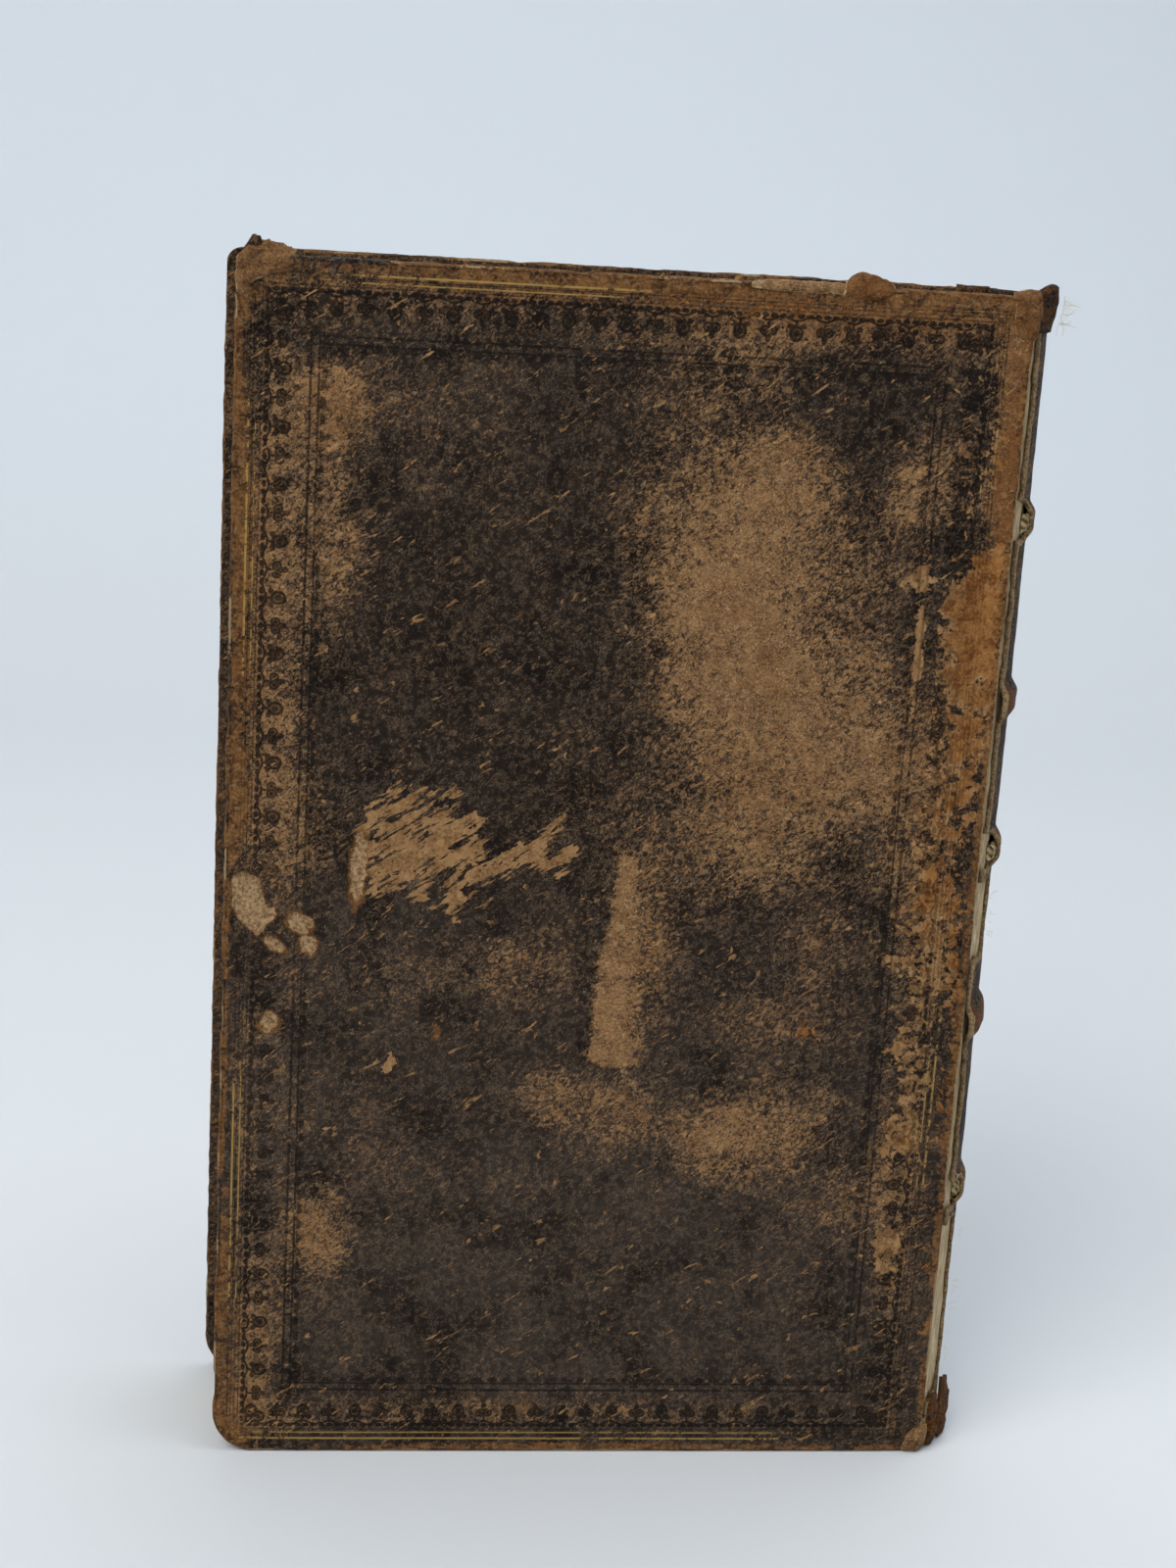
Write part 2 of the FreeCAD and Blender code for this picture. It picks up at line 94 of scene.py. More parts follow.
# Soft-edged patches: centre, radii, turn in degrees, strength.
def patchField(a, z, patches):
    left = np.ones_like(a)
    for ca, cz, ra, rz, turn, strength in patches:
        c = math.cos(math.radians(turn))
        s = math.sin(math.radians(turn))
        p = ((a - ca) * c + (z - cz) * s) / ra
        q = ((z - cz) * c - (a - ca) * s) / rz
        left *= 1 - strength * np.exp(-0.85 * (p * p + q * q) ** 1.15)
    return 1 - left


# Signed distance to a polygon, negative inside.
def polygonDistance(a, z, corners):
    nearest = np.full(a.shape, 1e9)
    inside = np.zeros(a.shape, bool)
    for (xa, za), (xb, zb) in zip(corners, corners[1:] + corners[:1]):
        ex, ez = xb - xa, zb - za
        t = np.clip(((a - xa) * ex + (z - za) * ez) / (ex * ex + ez * ez), 0, 1)
        nearest = np.minimum(nearest, np.hypot(a - xa - t * ex, z - za - t * ez))
        if za != zb:
            crosses = (za > z) != (zb > z)
            inside ^= crosses & (a < ex * (z - za) / ez + xa)
    return np.where(inside, -nearest, nearest)


# Signed distance to strokes: two ends and a radius.
def strokeDistance(a, z, strokes):
    nearest = np.full(a.shape, 1e9)
    for xa, za, xb, zb, radius in strokes:
        ex, ez = xb - xa, zb - za
        t = np.clip(((a - xa) * ex + (z - za) * ez) / (ex * ex + ez * ez), 0, 1)
        taper = radius * (1 - 0.35 * np.abs(2 * t - 1) ** 2)
        nearest = np.minimum(nearest, np.hypot(a - xa - t * ex, z - za - t * ez) - taper)
    return nearest


def meshObject(name, points, faces, smooth=True):
    mesh = bpy.data.meshes.new(name)
    mesh.from_pydata([tuple(p) for p in points], [], faces)
    if smooth:
        mesh.polygons.foreach_set("use_smooth", [True] * len(mesh.polygons))
    mesh.update()
    made = bpy.data.objects.new(name, mesh)
    bpy.context.scene.collection.objects.link(made)
    return made


def gridFaces(index):
    quads = np.stack([index[:-1, :-1], index[1:, :-1], index[1:, 1:], index[:-1, 1:]], -1)
    return quads.reshape(-1, 4).tolist()


def addValues(made, **fields):
    for label, values in fields.items():
        layer = made.data.attributes.new(label, "FLOAT", "POINT")
        layer.data.foreach_set("value", np.asarray(values, np.float32))


# Shader maths written as plain expressions.
class Field:
    def __init__(self, tree, socket):
        self.tree = tree
        self.socket = socket

    def work(self, operation, *others):
        node = self.tree.nodes.new("ShaderNodeMath")
        node.operation = operation
        for index, value in enumerate((self, *others)):
            feed(self.tree, node.inputs[index], value)
        return Field(self.tree, node.outputs[0])

    def __add__(self, other):
        return self.work("ADD", other)

    def __sub__(self, other):
        return self.work("SUBTRACT", other)

    def __mul__(self, other):
        return self.work("MULTIPLY", other)

    def __truediv__(self, other):
        return self.work("DIVIDE", other)

    def __rsub__(self, other):
        return self.work("MULTIPLY", -1.0).work("ADD", other)

    __radd__ = __add__
    __rmul__ = __mul__

    def least(self, other):
        return self.work("MINIMUM", other)

    def most(self, other):
        return self.work("MAXIMUM", other)

    def size(self):
        return self.work("ABSOLUTE")

    def repeat(self, pitch):
        return (self / pitch).work("FRACT") * pitch - pitch / 2

    def step(self, low, high):
        node = self.tree.nodes.new("ShaderNodeMapRange")
        node.interpolation_type = "SMOOTHSTEP"
        feed(self.tree, node.inputs[0], self)
        feed(self.tree, node.inputs[1], low)
        feed(self.tree, node.inputs[2], high)
        return Field(self.tree, node.outputs[0])


def feed(tree, socket, value):
    if isinstance(value, Field):
        tree.links.new(value.socket, socket)
    else:
        socket.default_value = value


def mixTones(tree, factor, first, second, kind="MIX"):
    node = tree.nodes.new("ShaderNodeMix")
    node.data_type = "RGBA"
    node.blend_type = kind
    feed(tree, node.inputs[0], factor)
    feed(tree, node.inputs[6], tone(first) if isinstance(first, str) else first)
    feed(tree, node.inputs[7], tone(second) if isinstance(second, str) else second)
    return Field(tree, node.outputs[2])


def noiseField(tree, place, scale, detail=3.0, roughness=0.55, distortion=0.0):
    node = tree.nodes.new("ShaderNodeTexNoise")
    feed(tree, node.inputs["Vector"], place)
    node.inputs["Scale"].default_value = scale
    node.inputs["Detail"].default_value = detail
    node.inputs["Roughness"].default_value = roughness
    node.inputs["Distortion"].default_value = distortion
    return Field(tree, node.outputs[0])


def cellField(tree, place, scale, feature="DISTANCE_TO_EDGE"):
    node = tree.nodes.new("ShaderNodeTexVoronoi")
    node.feature = feature
    feed(tree, node.inputs["Vector"], place)
    node.inputs["Scale"].default_value = scale
    return Field(tree, node.outputs[0])


def joinVector(tree, x, y, z):
    node = tree.nodes.new("ShaderNodeCombineXYZ")
    feed(tree, node.inputs[0], x)
    feed(tree, node.inputs[1], y)
    feed(tree, node.inputs[2], z)
    return Field(tree, node.outputs[0])


def splitVector(tree, vector):
    node = tree.nodes.new("ShaderNodeSeparateXYZ")
    feed(tree, node.inputs[0], vector)
    return [Field(tree, socket) for socket in node.outputs]


# Object coordinates in millimetres.
def placeInMm(tree):
    source = tree.nodes.new("ShaderNodeTexCoord")
    scale = tree.nodes.new("ShaderNodeVectorMath")
    scale.operation = "SCALE"
    tree.links.new(source.outputs["Object"], scale.inputs[0])
    scale.inputs["Scale"].default_value = 1000
    return Field(tree, scale.outputs[0])


def pointValue(tree, label):
    node = tree.nodes.new("ShaderNodeAttribute")
    node.attribute_name = label
    return Field(tree, node.outputs["Fac"])


def newMaterial(name, roughness, specular):
    material = bpy.data.materials.new(name)
    material.use_nodes = True
    tree = material.node_tree
    shader = tree.nodes["Principled BSDF"]
    shader.inputs["Roughness"].default_value = roughness
    shader.inputs["Specular IOR Level"].default_value = specular
    return material, tree, shader


# Height is in millimetres.
def addBump(tree, shader, height, strength=1.0):
    bump = tree.nodes.new("ShaderNodeBump")
    bump.inputs["Strength"].default_value = strength
    bump.inputs["Distance"].default_value = 0.001
    tree.links.new(height.socket, bump.inputs["Height"])
    tree.links.new(bump.outputs["Normal"], shader.inputs["Normal"])


def newGroup(name, inputs, outputs):
    tree = bpy.data.node_groups.new(name, "ShaderNodeTree")
    for label, kind in inputs:
        tree.interface.new_socket(label, in_out="INPUT", socket_type=kind)
    for label, kind in outputs:
        tree.interface.new_socket(label, in_out="OUTPUT", socket_type=kind)
    source = tree.nodes.new("NodeGroupInput")
    sink = tree.nodes.new("NodeGroupOutput")
    fields = {label: Field(tree, source.outputs[label]) for label, _ in inputs}
    return tree, fields, sink


def useGroup(tree, group, **values):
    node = tree.nodes.new("ShaderNodeGroup")
    node.node_tree = group
    for label, value in values.items():
        feed(tree, node.inputs[label], value)
    return {socket.name: Field(tree, socket) for socket in node.outputs}


def ellipse(a, b, centreA, centreB, radiusA, radiusB):
    p = (a - centreA) / radiusA
    q = (b - centreB) / radiusB
    return (p * p + q * q).work("SQRT")


# Worn calf: dark polished grain over the tan fibre that shows where it is rubbed.
def makeSkinGroup():
    tree, given, sink = newGroup(
        "wornSkin",
        [("Place", "NodeSocketVector"), ("Wear", "NodeSocketFloat"), ("Orange", "NodeSocketFloat"),
         ("Grey", "NodeSocketFloat")],
        [("Tone", "NodeSocketColor"), ("Height", "NodeSocketFloat"), ("Rubbed", "NodeSocketFloat")])
    place = given["Place"]
    x, y, z = splitVector(tree, place)
    slanted = joinVector(tree, x * 0.77 + z * 0.64, y, (z * 0.77 - x * 0.64) * 1.6)
    flecks = noiseField(tree, slanted, 1.15, 5.0, 0.72, 0.7)
    fine = noiseField(tree, place, 4.2, 4.0, 0.65)
    broad = noiseField(tree, place, 0.11, 4.0, 0.6)
    middle = noiseField(tree, place, 0.42, 5.0, 0.66)
    wrinkles = noiseField(tree, slanted, 1.5, 4.0, 0.6, 1.2)
    gaps = noiseField(tree, place, 1.0, 3.0, 0.6)
    pores = cellField(tree, place, 1.9)
    cover = given["Wear"] + (broad - 0.5) * 0.5 + (middle - 0.5) * 0.5
    level = 0.665 - cover * 0.33
    rubbed = (flecks + (fine - 0.5) * 0.22).step(level - 0.05, level + 0.05)
    crease = 1.0 - pores.step(0.0, 0.13)
    ridge = 1.0 - (wrinkles - 0.5).size().step(0.004, 0.03)
    thread = ridge * gaps.step(0.45, 0.57)
    ripples = noiseField(tree, joinVector(tree, x * 0.9 + z * 0.2, y, z * 2.4), 1.1, 3.0, 0.55, 0.6)
    dark = mixTones(tree, middle.step(0.32, 0.68), "#0d0705", "#251913")
    # Grey lifts the dark grain and the dull fibre toward grey; over the rear cover's lower half it carries
    # painted sheen, the grey of a glancing reflection.
    dark = mixTones(tree, given["Grey"] * broad.step(0.25, 0.6), dark, "#66594f")
    dark = mixTones(tree, cover.step(0.25, 0.95) * 0.75, dark, "#5e4a3c")
    dark = mixTones(tree, fine.step(0.5, 0.7) * 0.4, dark, "#4b3c31")
    fibre = mixTones(tree, middle.step(0.36, 0.66), "#7b5735", "#b58958")
    fibre = mixTones(tree, fine.step(0.4, 0.64) * 0.8, fibre, "#caa278")
    fibre = mixTones(tree, broad.step(0.56, 0.7) * 0.4, fibre, "#94653a")
    fibre = mixTones(tree, given["Orange"], fibre, "#85501f")
    dull = mixTones(tree, given["Grey"], "#7c6349", "#7d7061")
    fibre = mixTones(tree, cover.step(0.15, 0.6), dull, fibre)
    skin = mixTones(tree, rubbed, dark, fibre)
    skin = mixTones(tree, thread * (1.0 - rubbed) * 0.85, skin, "#b59b7c")
    skin = mixTones(tree, thread * rubbed * 0.45, skin, "#4a3421")
    # Darker along the crease lines, which the bump below sinks: painted shade in the grain's creases.
    skin = mixTones(tree, crease * 0.3, skin, "#140e0a")
    skin = mixTones(tree, rubbed * ripples.step(0.5, 0.64) * 0.3, skin, "#54391f")
    height = flecks * -0.42 + fine * 0.12 - crease * 0.05 + thread * 0.09 + ripples * rubbed * 0.2
    tree.links.new(skin.socket, sink.inputs["Tone"])
    tree.links.new(height.socket, sink.inputs["Height"])
    tree.links.new(rubbed.socket, sink.inputs["Rubbed"])
    return tree


# One side's run of tooling. Inset is from the cover's edge, Across from the neighbouring edge.
def makeToolingGroup():
    tree, given, sink = newGroup(
        "borderTooling",
        [("Inset", "NodeSocketFloat"), ("Across", "NodeSocketFloat"), ("Along", "NodeSocketFloat")],
        [("Dark", "NodeSocketFloat"), ("Line", "NodeSocketFloat"), ("Blind", "NodeSocketFloat")])
    inset, across, along = given["Inset"], given["Across"], given["Along"]
    mitred = across.step(2.0, 2.4)
    outer = 1.0 - (inset - 2.5).size().step(0.1, 0.22)
    second = 1.0 - (inset - 3.6).size().step(0.06, 0.16)
    plain = 1.0 - ((inset - 3.65).size() - 0.6).size().step(0.04, 0.14)
    line = outer.most(second * 0.9) * mitred
    beads = ellipse(along.repeat(1.35), inset, 0.0, 5.0, 0.56, 0.36)
    beads = (1.0 - beads.step(0.8, 1.15)) * across.step(4.6, 4.9)
    pitch = 4.3
    local = along.repeat(pitch)
    rise = inset - 7.35
    kind = (along / (pitch * 2)).work("FRACT")
    bud = ellipse(local, rise, 0.0, 0.2, 1.12, 1.3)
    leaf = ellipse(local.size(), rise, 1.0, -0.85, 0.5, 0.42)
    bud = bud.least(leaf)
    lobes = ellipse(local.size(), rise, 0.6, -0.1, 0.78, 0.78)
    spade = lobes.least(ellipse(local, rise, 0.0, 0.85, 0.45, 0.85))
    shape = bud * kind.step(0.49, 0.51) + spade * (1.0 - kind.step(0.49, 0.51))
    stem = (local.size() / 0.2).most((rise + 1.1).size() / 0.75)
    shape = shape.least(stem)
    # Each stamp is left lighter on a thin ring halfway out from its centre: a painted highlight on the tool's
    # inner relief, which is also pressed less deep.
    highlightRingCut = (shape - 0.5).size().step(0.03, 0.16)
    stamped = (1.0 - shape.step(0.88, 1.06)) * (highlightRingCut * 0.35 + 0.65)
    swing = (local / pitch * 6.2832).work("COSINE") * 0.32
    swag = 1.0 - (rise + 1.95 - swing).size().step(0.12, 0.26)
    ring = 1.0 - ((along.repeat(pitch * 2) / 1.0).size() + (rise + 0.6).size()).step(0.16, 0.3)
    stamped = stamped.most(swag).most(ring) * across.step(4.8, 5.4)
    double = 1.0 - ((inset - 12.1).size() - 0.62).size().step(0.12, 0.26)
    scallop = ellipse(along.repeat(2.5), inset, 0.0, 13.05, 0.95, 0.85)
    scallop = (1.0 - scallop.step(0.8, 1.05)) * inset.step(12.95, 13.1)
    blind = (double * across.step(11.2, 11.5)).most(scallop * across.step(12.8, 13.2))
    blind = blind.most(plain * mitred * 0.8)
    dark = beads.most(stamped)
    tree.links.new(dark.socket, sink.inputs["Dark"])
    tree.links.new(line.socket, sink.inputs["Line"])
    tree.links.new(blind.socket, sink.inputs["Blind"])
    return tree


skinGroup = makeSkinGroup()
toolingGroup = makeToolingGroup()
print("shader groups made")


def makeCoverMaterial():
    material, tree, shader = newMaterial("tooledCover", 0.6, 0.07)
    place = placeInMm(tree)
    x, y, z = splitVector(tree, place)
    wear = pointValue(tree, "wear")
    orange = pointValue(tree, "orange")
    skin = useGroup(tree, skinGroup, Place=place, Wear=wear, Orange=orange, Grey=pointValue(tree, "grey"))
    upright = useGroup(tree, toolingGroup, Inset=pointValue(tree, "insetSide"),
                       Across=pointValue(tree, "insetEnd"), Along=z)
    level = useGroup(tree, toolingGroup, Inset=pointValue(tree, "insetEnd"),
                     Across=pointValue(tree, "insetSide"), Along=x - rearCorner[0])
    fine = noiseField(tree, place, 1.9, 4.0, 0.65)
    coarse = noiseField(tree, place, 0.55, 4.0, 0.6)
    tooled = pointValue(tree, "tooled")
    dark = upright["Dark"].most(level["Dark"]) * tooled * (fine + coarse).step(0.58, 0.84)
    blind = upright["Blind"].most(level["Blind"]) * tooled * (fine + coarse).step(0.74, 1.0)
    line = upright["Line"].most(level["Line"])
    gilt = line * (coarse * 0.9 + fine * 0.8 + pointValue(tree, "gilt") * 0.64).step(1.12, 1.22)
    lined = line * tooled * fine.step(0.36, 0.55) * (1.0 - gilt)
    pressed = dark.most(blind * 0.85).most(lined * 0.6)
    grain = noiseField(tree, place, 1.0, 5.0, 0.72, 0.4)
    deep = mixTones(tree, skin["Rubbed"], "#090403", "#5c3e25")
    bright = mixTones(tree, skin["Rubbed"], "#7d6658", "#cda67a")
    tint = mixTones(tree, (1.0 - grain.step(0.42, 0.56)) * 0.34, skin["Tone"], deep)
    tint = mixTones(tree, grain.step(0.56, 0.64) * (skin["Rubbed"] * 0.3 + 0.08), tint, bright)
    tint = mixTones(tree, pressed * 0.86, tint, "#171210")

    streakPlace = joinVector(tree, (x * 0.82 + z * 0.57) * 0.26, y * 0.3, (z * 0.82 - x * 0.57) * 1.3)
    streaks = noiseField(tree, streakPlace, 1.0, 4.0, 0.62, 0.5)
    ragged = noiseField(tree, place, 0.8, 5.0, 0.68, 0.3)
    blots = noiseField(tree, place, 0.36, 3.0, 0.5)
    fan = (pointValue(tree, "fan") + (streaks - 0.5) * 3.2 + (ragged - 0.5) * 1.2).step(0.5, 0.55)
    peelAmount = pointValue(tree, "peel") + (ragged - 0.5) * 2.6 + (blots - 0.5) * 1.4
    peel = peelAmount.step(0.54, 0.58)
    rim = peelAmount.step(0.44, 0.54) * (1.0 - peel)
    flesh = mixTones(tree, coarse.step(0.38, 0.62), "#8a6238", "#bd9261")
    flesh = mixTones(tree, fine.step(0.38, 0.62) * 0.55, flesh, "#c9a276")
    amber = mixTones(tree, (coarse + fine).step(0.8, 1.15), "#75401a", "#ad763e")
    stained = (orange + (blots - 0.5) * 1.6).step(0.35, 0.75)
    flesh = mixTones(tree, stained * 0.85, flesh, amber)
    flesh = mixTones(tree, skin["Rubbed"] * -0.2 + 0.2, flesh, "#5d3d22")
    tint = mixTones(tree, rim * 0.6, tint, "#2c1a10")
    tint = mixTones(tree, peel.most(fan), tint, flesh)
    tint = mixTones(tree, pressed * peel * 0.55, tint, "#3a2818")

    bareAmount = pointValue(tree, "bare") + (ragged - 0.5) * 1.1 + (blots - 0.5) * 0.5
    bare = bareAmount.step(0.5, 0.56)
    lip = bareAmount.step(0.28, 0.46) * (1.0 - bare)
    pulp = mixTones(tree, fine.step(0.36, 0.62), "#8a6c49", "#cba87e")
    specks = noiseField(tree, place, 4.2, 2.0, 0.5).step(0.62, 0.68)
    pulp = mixTones(tree, specks * 0.8, pulp, "#4b3d2c")
    tint = mixTones(tree, lip * 0.75, tint, "#8a5c30")
    tint = mixTones(tree, bare, tint, pulp)

    edgeAmount = pointValue(tree, "rub") + (ragged - 0.5) * 1.1
    rub = edgeAmount.step(0.45, 0.62)
    rubbed = mixTones(tree, coarse.step(0.38, 0.62), "#4e2f17", "#8f6236")
    rubbed = mixTones(tree, fine.step(0.45, 0.64) * 0.6, rubbed, "#b08a60")
    tint = mixTones(tree, rub * 0.8, tint, rubbed)
    arris = pointValue(tree, "arris") + (fine - 0.5) * 1.3
    tint = mixTones(tree, arris.step(0.55, 0.75) * 0.75, tint, "#b9a07a")

    scuffs = noiseField(tree, joinVector(tree, x * 0.5 + z * 0.5, y, (z - x) * 2.6), 0.5, 3.0, 0.5)
    scuff = scuffs.step(0.655, 0.7) * fine.step(0.45, 0.55)
    tint = mixTones(tree, scuff * 0.3, tint, "#9a8c7a")
    dust = noiseField(tree, place, 0.9, 5.0, 0.75).step(0.69, 0.75) * pointValue(tree, "dust")
    tint = mixTones(tree, dust * 0.8, tint, "#b9b0a2")
    tint = mixTones(tree, gilt * 0.85, tint, "#bf9c58")
    tree.links.new(tint.socket, shader.inputs["Base Color"])
    tree.links.new((gilt * 0.5).socket, shader.inputs["Metallic"])
    rough = 0.47 + skin["Rubbed"] * 0.2 + peel.most(fan).most(bare) * 0.25 + rub * 0.12 - gilt * 0.12
    tree.links.new(rough.socket, shader.inputs["Roughness"])
    height = skin["Height"] * 1.6 - pressed * 0.28 - line * 0.08 - peel.most(fan) * 0.11
    height = height - bare * 0.25 + pulpRelief(tree, place) * bare
    addBump(tree, shader, height, 0.9)
    return material


def pulpRelief(tree, place):
    return noiseField(tree, place, 2.6, 4.0, 0.7) * 0.35


# Both covers: a leather tray round the board, from the rounded outer face to the turn-ins.
def makeCoverSkin(name, node, side, look):
    lo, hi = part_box(node)
    width = (hi.x - lo.x) / mm
    height = (hi.z - lo.z) / mm
    depth = (hi.y - lo.y) / mm
    stepsX = gridLines(width, look["fine"], look["coarse"], look["denseX"])
    stepsZ = gridLines(height, look["fine"], look["coarse"], look["denseZ"])
    rings = [(0.6, 0.6, 0.0), (0.38, 0.38, 0.06), (0.18, 0.18, 0.2), (0.05, 0.05, 0.42), (0, 0, 0.75),
             (0, 0, 1.3), (0, 0, 1.9), (0, 0, 2.5), (0, 0, depth - 0.55), (0.08, 0.08, depth - 0.25),
             (0.3, 0.2, depth - 0.05), (0.7, 0.35, depth), (2.5, 0.45, depth), (5, 0.55, depth),
             (8, 0.7, depth), (11, 0.8, depth), (12.7, 0.9, depth), (13, 1.0, depth - 0.08),
             (13, 1.0, depth - 0.4), (0.7, 0.35, depth - 0.4), (0.7, 0.35, 0.7)]

    def place(gx, gz, inset, jointInset):
        a = inset + gx / width * (width - inset - jointInset)
        z = inset + gz / height * (height - 2 * inset)
        for low, radius in ((True, look["tailRadius"]), (False, look["headRadius"])):
            reach = radius - inset
            if reach <= 0:
                continue
            zEdge = z if low else height - z
            p = np.clip((radius - a) / reach, 0, 1)
            q = np.clip((radius - zEdge) / reach, 0, 1)
            corner = (a < radius) & (zEdge < radius)
            roundA = radius - reach * p * np.sqrt(1 - q * q / 2)
            roundZ = radius - reach * q * np.sqrt(1 - p * p / 2)
            a = np.where(corner, roundA, a)
            z = np.where(corner, roundZ if low else height - roundZ, z)
        return a, z

    gx, gz = np.meshgrid(stepsX, stepsZ, indexing="ij")
    countX, countZ = gx.shape
    a, z = place(gx.ravel(), gz.ravel(), 0.6, 0.6)
    down = np.zeros_like(a)
    index = np.arange(countX * countZ).reshape(countX, countZ)
    faces = gridFaces(index)
    rim = np.concatenate([index[:, 0], index[-1, 1:], index[-2::-1, -1], index[0, -2:0:-1]])
    rimX = gx.ravel()[rim]
    rimZ = gz.ravel()[rim]
    previous = rim
    total = countX * countZ
    parts = [(a, z, down)]
    ringNumber = [np.zeros_like(a)]
    for number, (inset, jointInset, deep) in enumerate(rings[1:], 1):
        ringA, ringZ = place(rimX, rimZ, inset, jointInset)
        parts.append((ringA, ringZ, np.full_like(ringA, deep)))
        ringNumber.append(np.full_like(ringA, number))
        fresh = np.arange(total, total + len(rim))
        total += len(rim)
        quads = np.stack([np.roll(previous, -1), previous, fresh, np.roll(fresh, -1)], -1)
        faces += quads.tolist()
        previous = fresh
    faces.append(previous.tolist())
    a, z, down = (np.concatenate([p[i] for p in parts]) for i in range(3))
    ringNumber = np.concatenate(ringNumber)

    insetFore = a
    insetJoint = width - a
    insetEnd = np.minimum(z, height - z)
    near = np.minimum(np.minimum(insetFore, insetJoint), insetEnd)
    outer = ringNumber < 11
    bend = 1.6 * layeredNoise(a, z, 6.0, look["seed"])
    bendZ = 1.6 * layeredNoise(a, z, 6.0, look["seed"] + 9)
    wear = look["base"] + patchField(a + bend, z + bendZ, look["wear"]) * (1 - look["base"])
    if look["strip"]:
        strip = polygonDistance(a + 0.2 * bend, z + 0.3 * bendZ, look["strip"])
        wear = np.maximum(wear, look["stripWear"] * easeStep(-strip, -0.5, 0.9) * easeStep(-a, -72, -63))
    bare = 0 * a
    if look["torn"]:
        bare = easeStep(-polygonDistance(a + 0.25 * bend, z + 0.25 * bendZ, look["torn"]), -0.7, 0.7)
    for hole in look["holes"]:
        bare = np.maximum(bare, patchField(a + 0.2 * bend, z + 0.2 * bendZ, [hole]))
    fan = 0 * a
    if look["fan"]:
        fan = easeStep(-strokeDistance(a, z, look["fan"]), -2.2, 1.2) * look["fanAmount"]
    peel = patchField(a + 0.5 * bend, z + 0.5 * bendZ, look["peel"])
    if look["peeled"]:
        solid = polygonDistance(a + 0.3 * bend, z + 0.3 * bendZ, look["peeled"])
        peel = np.maximum(peel, easeStep(-solid, -2.4, 2.0))
    rub = patchField(a, z, look["rub"])
    margin = 1.2 + 1.0 * layeredNoise(a, z, 9.0, look["seed"] + 3)
    rub = np.maximum(rub, 0.9 * easeStep(-near, -2.6, -0.4) * easeStep(margin, 0.4, 1.4))
    arris = easeStep(-np.abs(near - 0.25), -0.5, -0.05)
    arris = arris * easeStep(softNoise(a, z, 5.0, look["seed"] + 5), -0.2, 0.6)
    torn = easeStep(-insetJoint, -0.75, -0.1) * easeStep(softNoise(a, z, 11.0, look["seed"] + 21), -0.8, 0.1)
    arris = np.maximum(arris, torn)
    inside = ringNumber >= 11

    sink = 0.42 * easeStep(bare, 0.35, 0.7) + 0.1 * easeStep(peel, 0.4, 0.75) + 0.1 * easeStep(fan, 0.4, 0.8)
    sink += 0.05 * (1 + layeredNoise(a, z, 14.0, look["seed"] + 6))
    sink += 0.03 * (1 + layeredNoise(a, z, 1.6, look["seed"] + 7))
    sink += 0.1 * wear * easeStep(near, 0.5, 3)
    for ca, cz, ra, rz, turn, strength in look["dents"]:
        sink += strength * patchField(a + bend, z + bendZ, [(ca, cz, ra, rz, turn, 1.0)])
    down = np.where(ringNumber == 0, down + sink, down)
    fray = 0.18 * (1 + layeredNoise(a + z, down * 2 + a - z, 2.2, look["seed"] + 8))
    fray += 0.35 * easeStep(layeredNoise(a + z, a - z, 7.0, look["seed"] + 11), 0.1, 0.7)
    for cornerA, cornerZ, reach, amount in look["corners"]:
        close = np.exp(-((a - cornerA) ** 2 + (z - cornerZ) ** 2) / reach ** 2)
        fray += amount * close * (1 + softNoise(a, z, 1.3, look["seed"] + 13))
        pinch = amount * 0.9 * close * (1 + softNoise(a, z, 1.1, look["seed"] + 14))
        down = np.where(outer, down + pinch, down)
        rub = np.maximum(rub, 0.95 * close)
    moving = (ringNumber > 0) & (ringNumber < 10)
    push = np.where(moving, np.clip(fray, 0, 0.65), 0)
    a = np.where(moving & (insetFore < 6), a + push * easeStep(-insetFore, -3, -0.5), a)
    top = easeStep(-(height - z), -3, -0.5)
    tail = easeStep(-z, -3, -0.5)
    z = np.where(moving, z - push * top + push * tail * look["tailFray"], z)

    worldY = lo.y / mm + down if side == "rear" else hi.y / mm - down
    points = np.stack([lo.x / mm + a, worldY, z], -1) * mm
    made = meshObject(name, points, faces)
    mesh = bmesh.new()
    mesh.from_mesh(made.data)
    bmesh.ops.recalc_face_normals(mesh, faces=mesh.faces)
    mesh.to_mesh(made.data)
    mesh.free()
    addValues(
        made,
        wear=np.where(inside, 0.35, wear),
        orange=np.clip(patchField(a, z, look["orange"]) + 0.4 * (near < 0.4), 0, 1),
        grey=look["grey"] + patchField(a, z, look["greyAndSheen"]) * 0.5,
        peel=np.where(inside, 0, peel),
        fan=np.where(inside, 0, fan),
        bare=np.where(inside, 0, bare),
        rub=np.where(inside, 0.3, rub),
        arris=np.where(inside, 0, arris),
        dust=patchField(a, z, look["dusty"]),
        gilt=np.where(outer, patchField(a, z, look["gilt"]), 0),
        tooled=np.where(ringNumber == 0, 1 - 0.8 * patchField(a, z, look["blank"]), 0),
        insetSide=np.minimum(insetFore, insetJoint - look["jointShift"]),
        insetEnd=insetEnd)
    made.data.materials.append(coverMaterial)
    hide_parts(node)
    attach(made, side + "_cover")
    print(name, "has", sum(len(face) - 2 for face in faces), "triangles")
    return made


def gridLines(length, fine, coarse, dense):
    lines = [0.0]
    while lines[-1] < length - 0.01:
        here = lines[-1]
        close = here < 14.6 or here > length - 16.2
        inside = any(low < here < high for low, high, _ in dense)
        step = min([s for low, high, s in dense if low < here < high] + [fine if close else coarse])
        lines.append(here + (step if not (close and inside) else min(step, fine)))
    scale = length / lines[-1]
    return np.array(lines) * scale


coverMaterial = makeCoverMaterial()

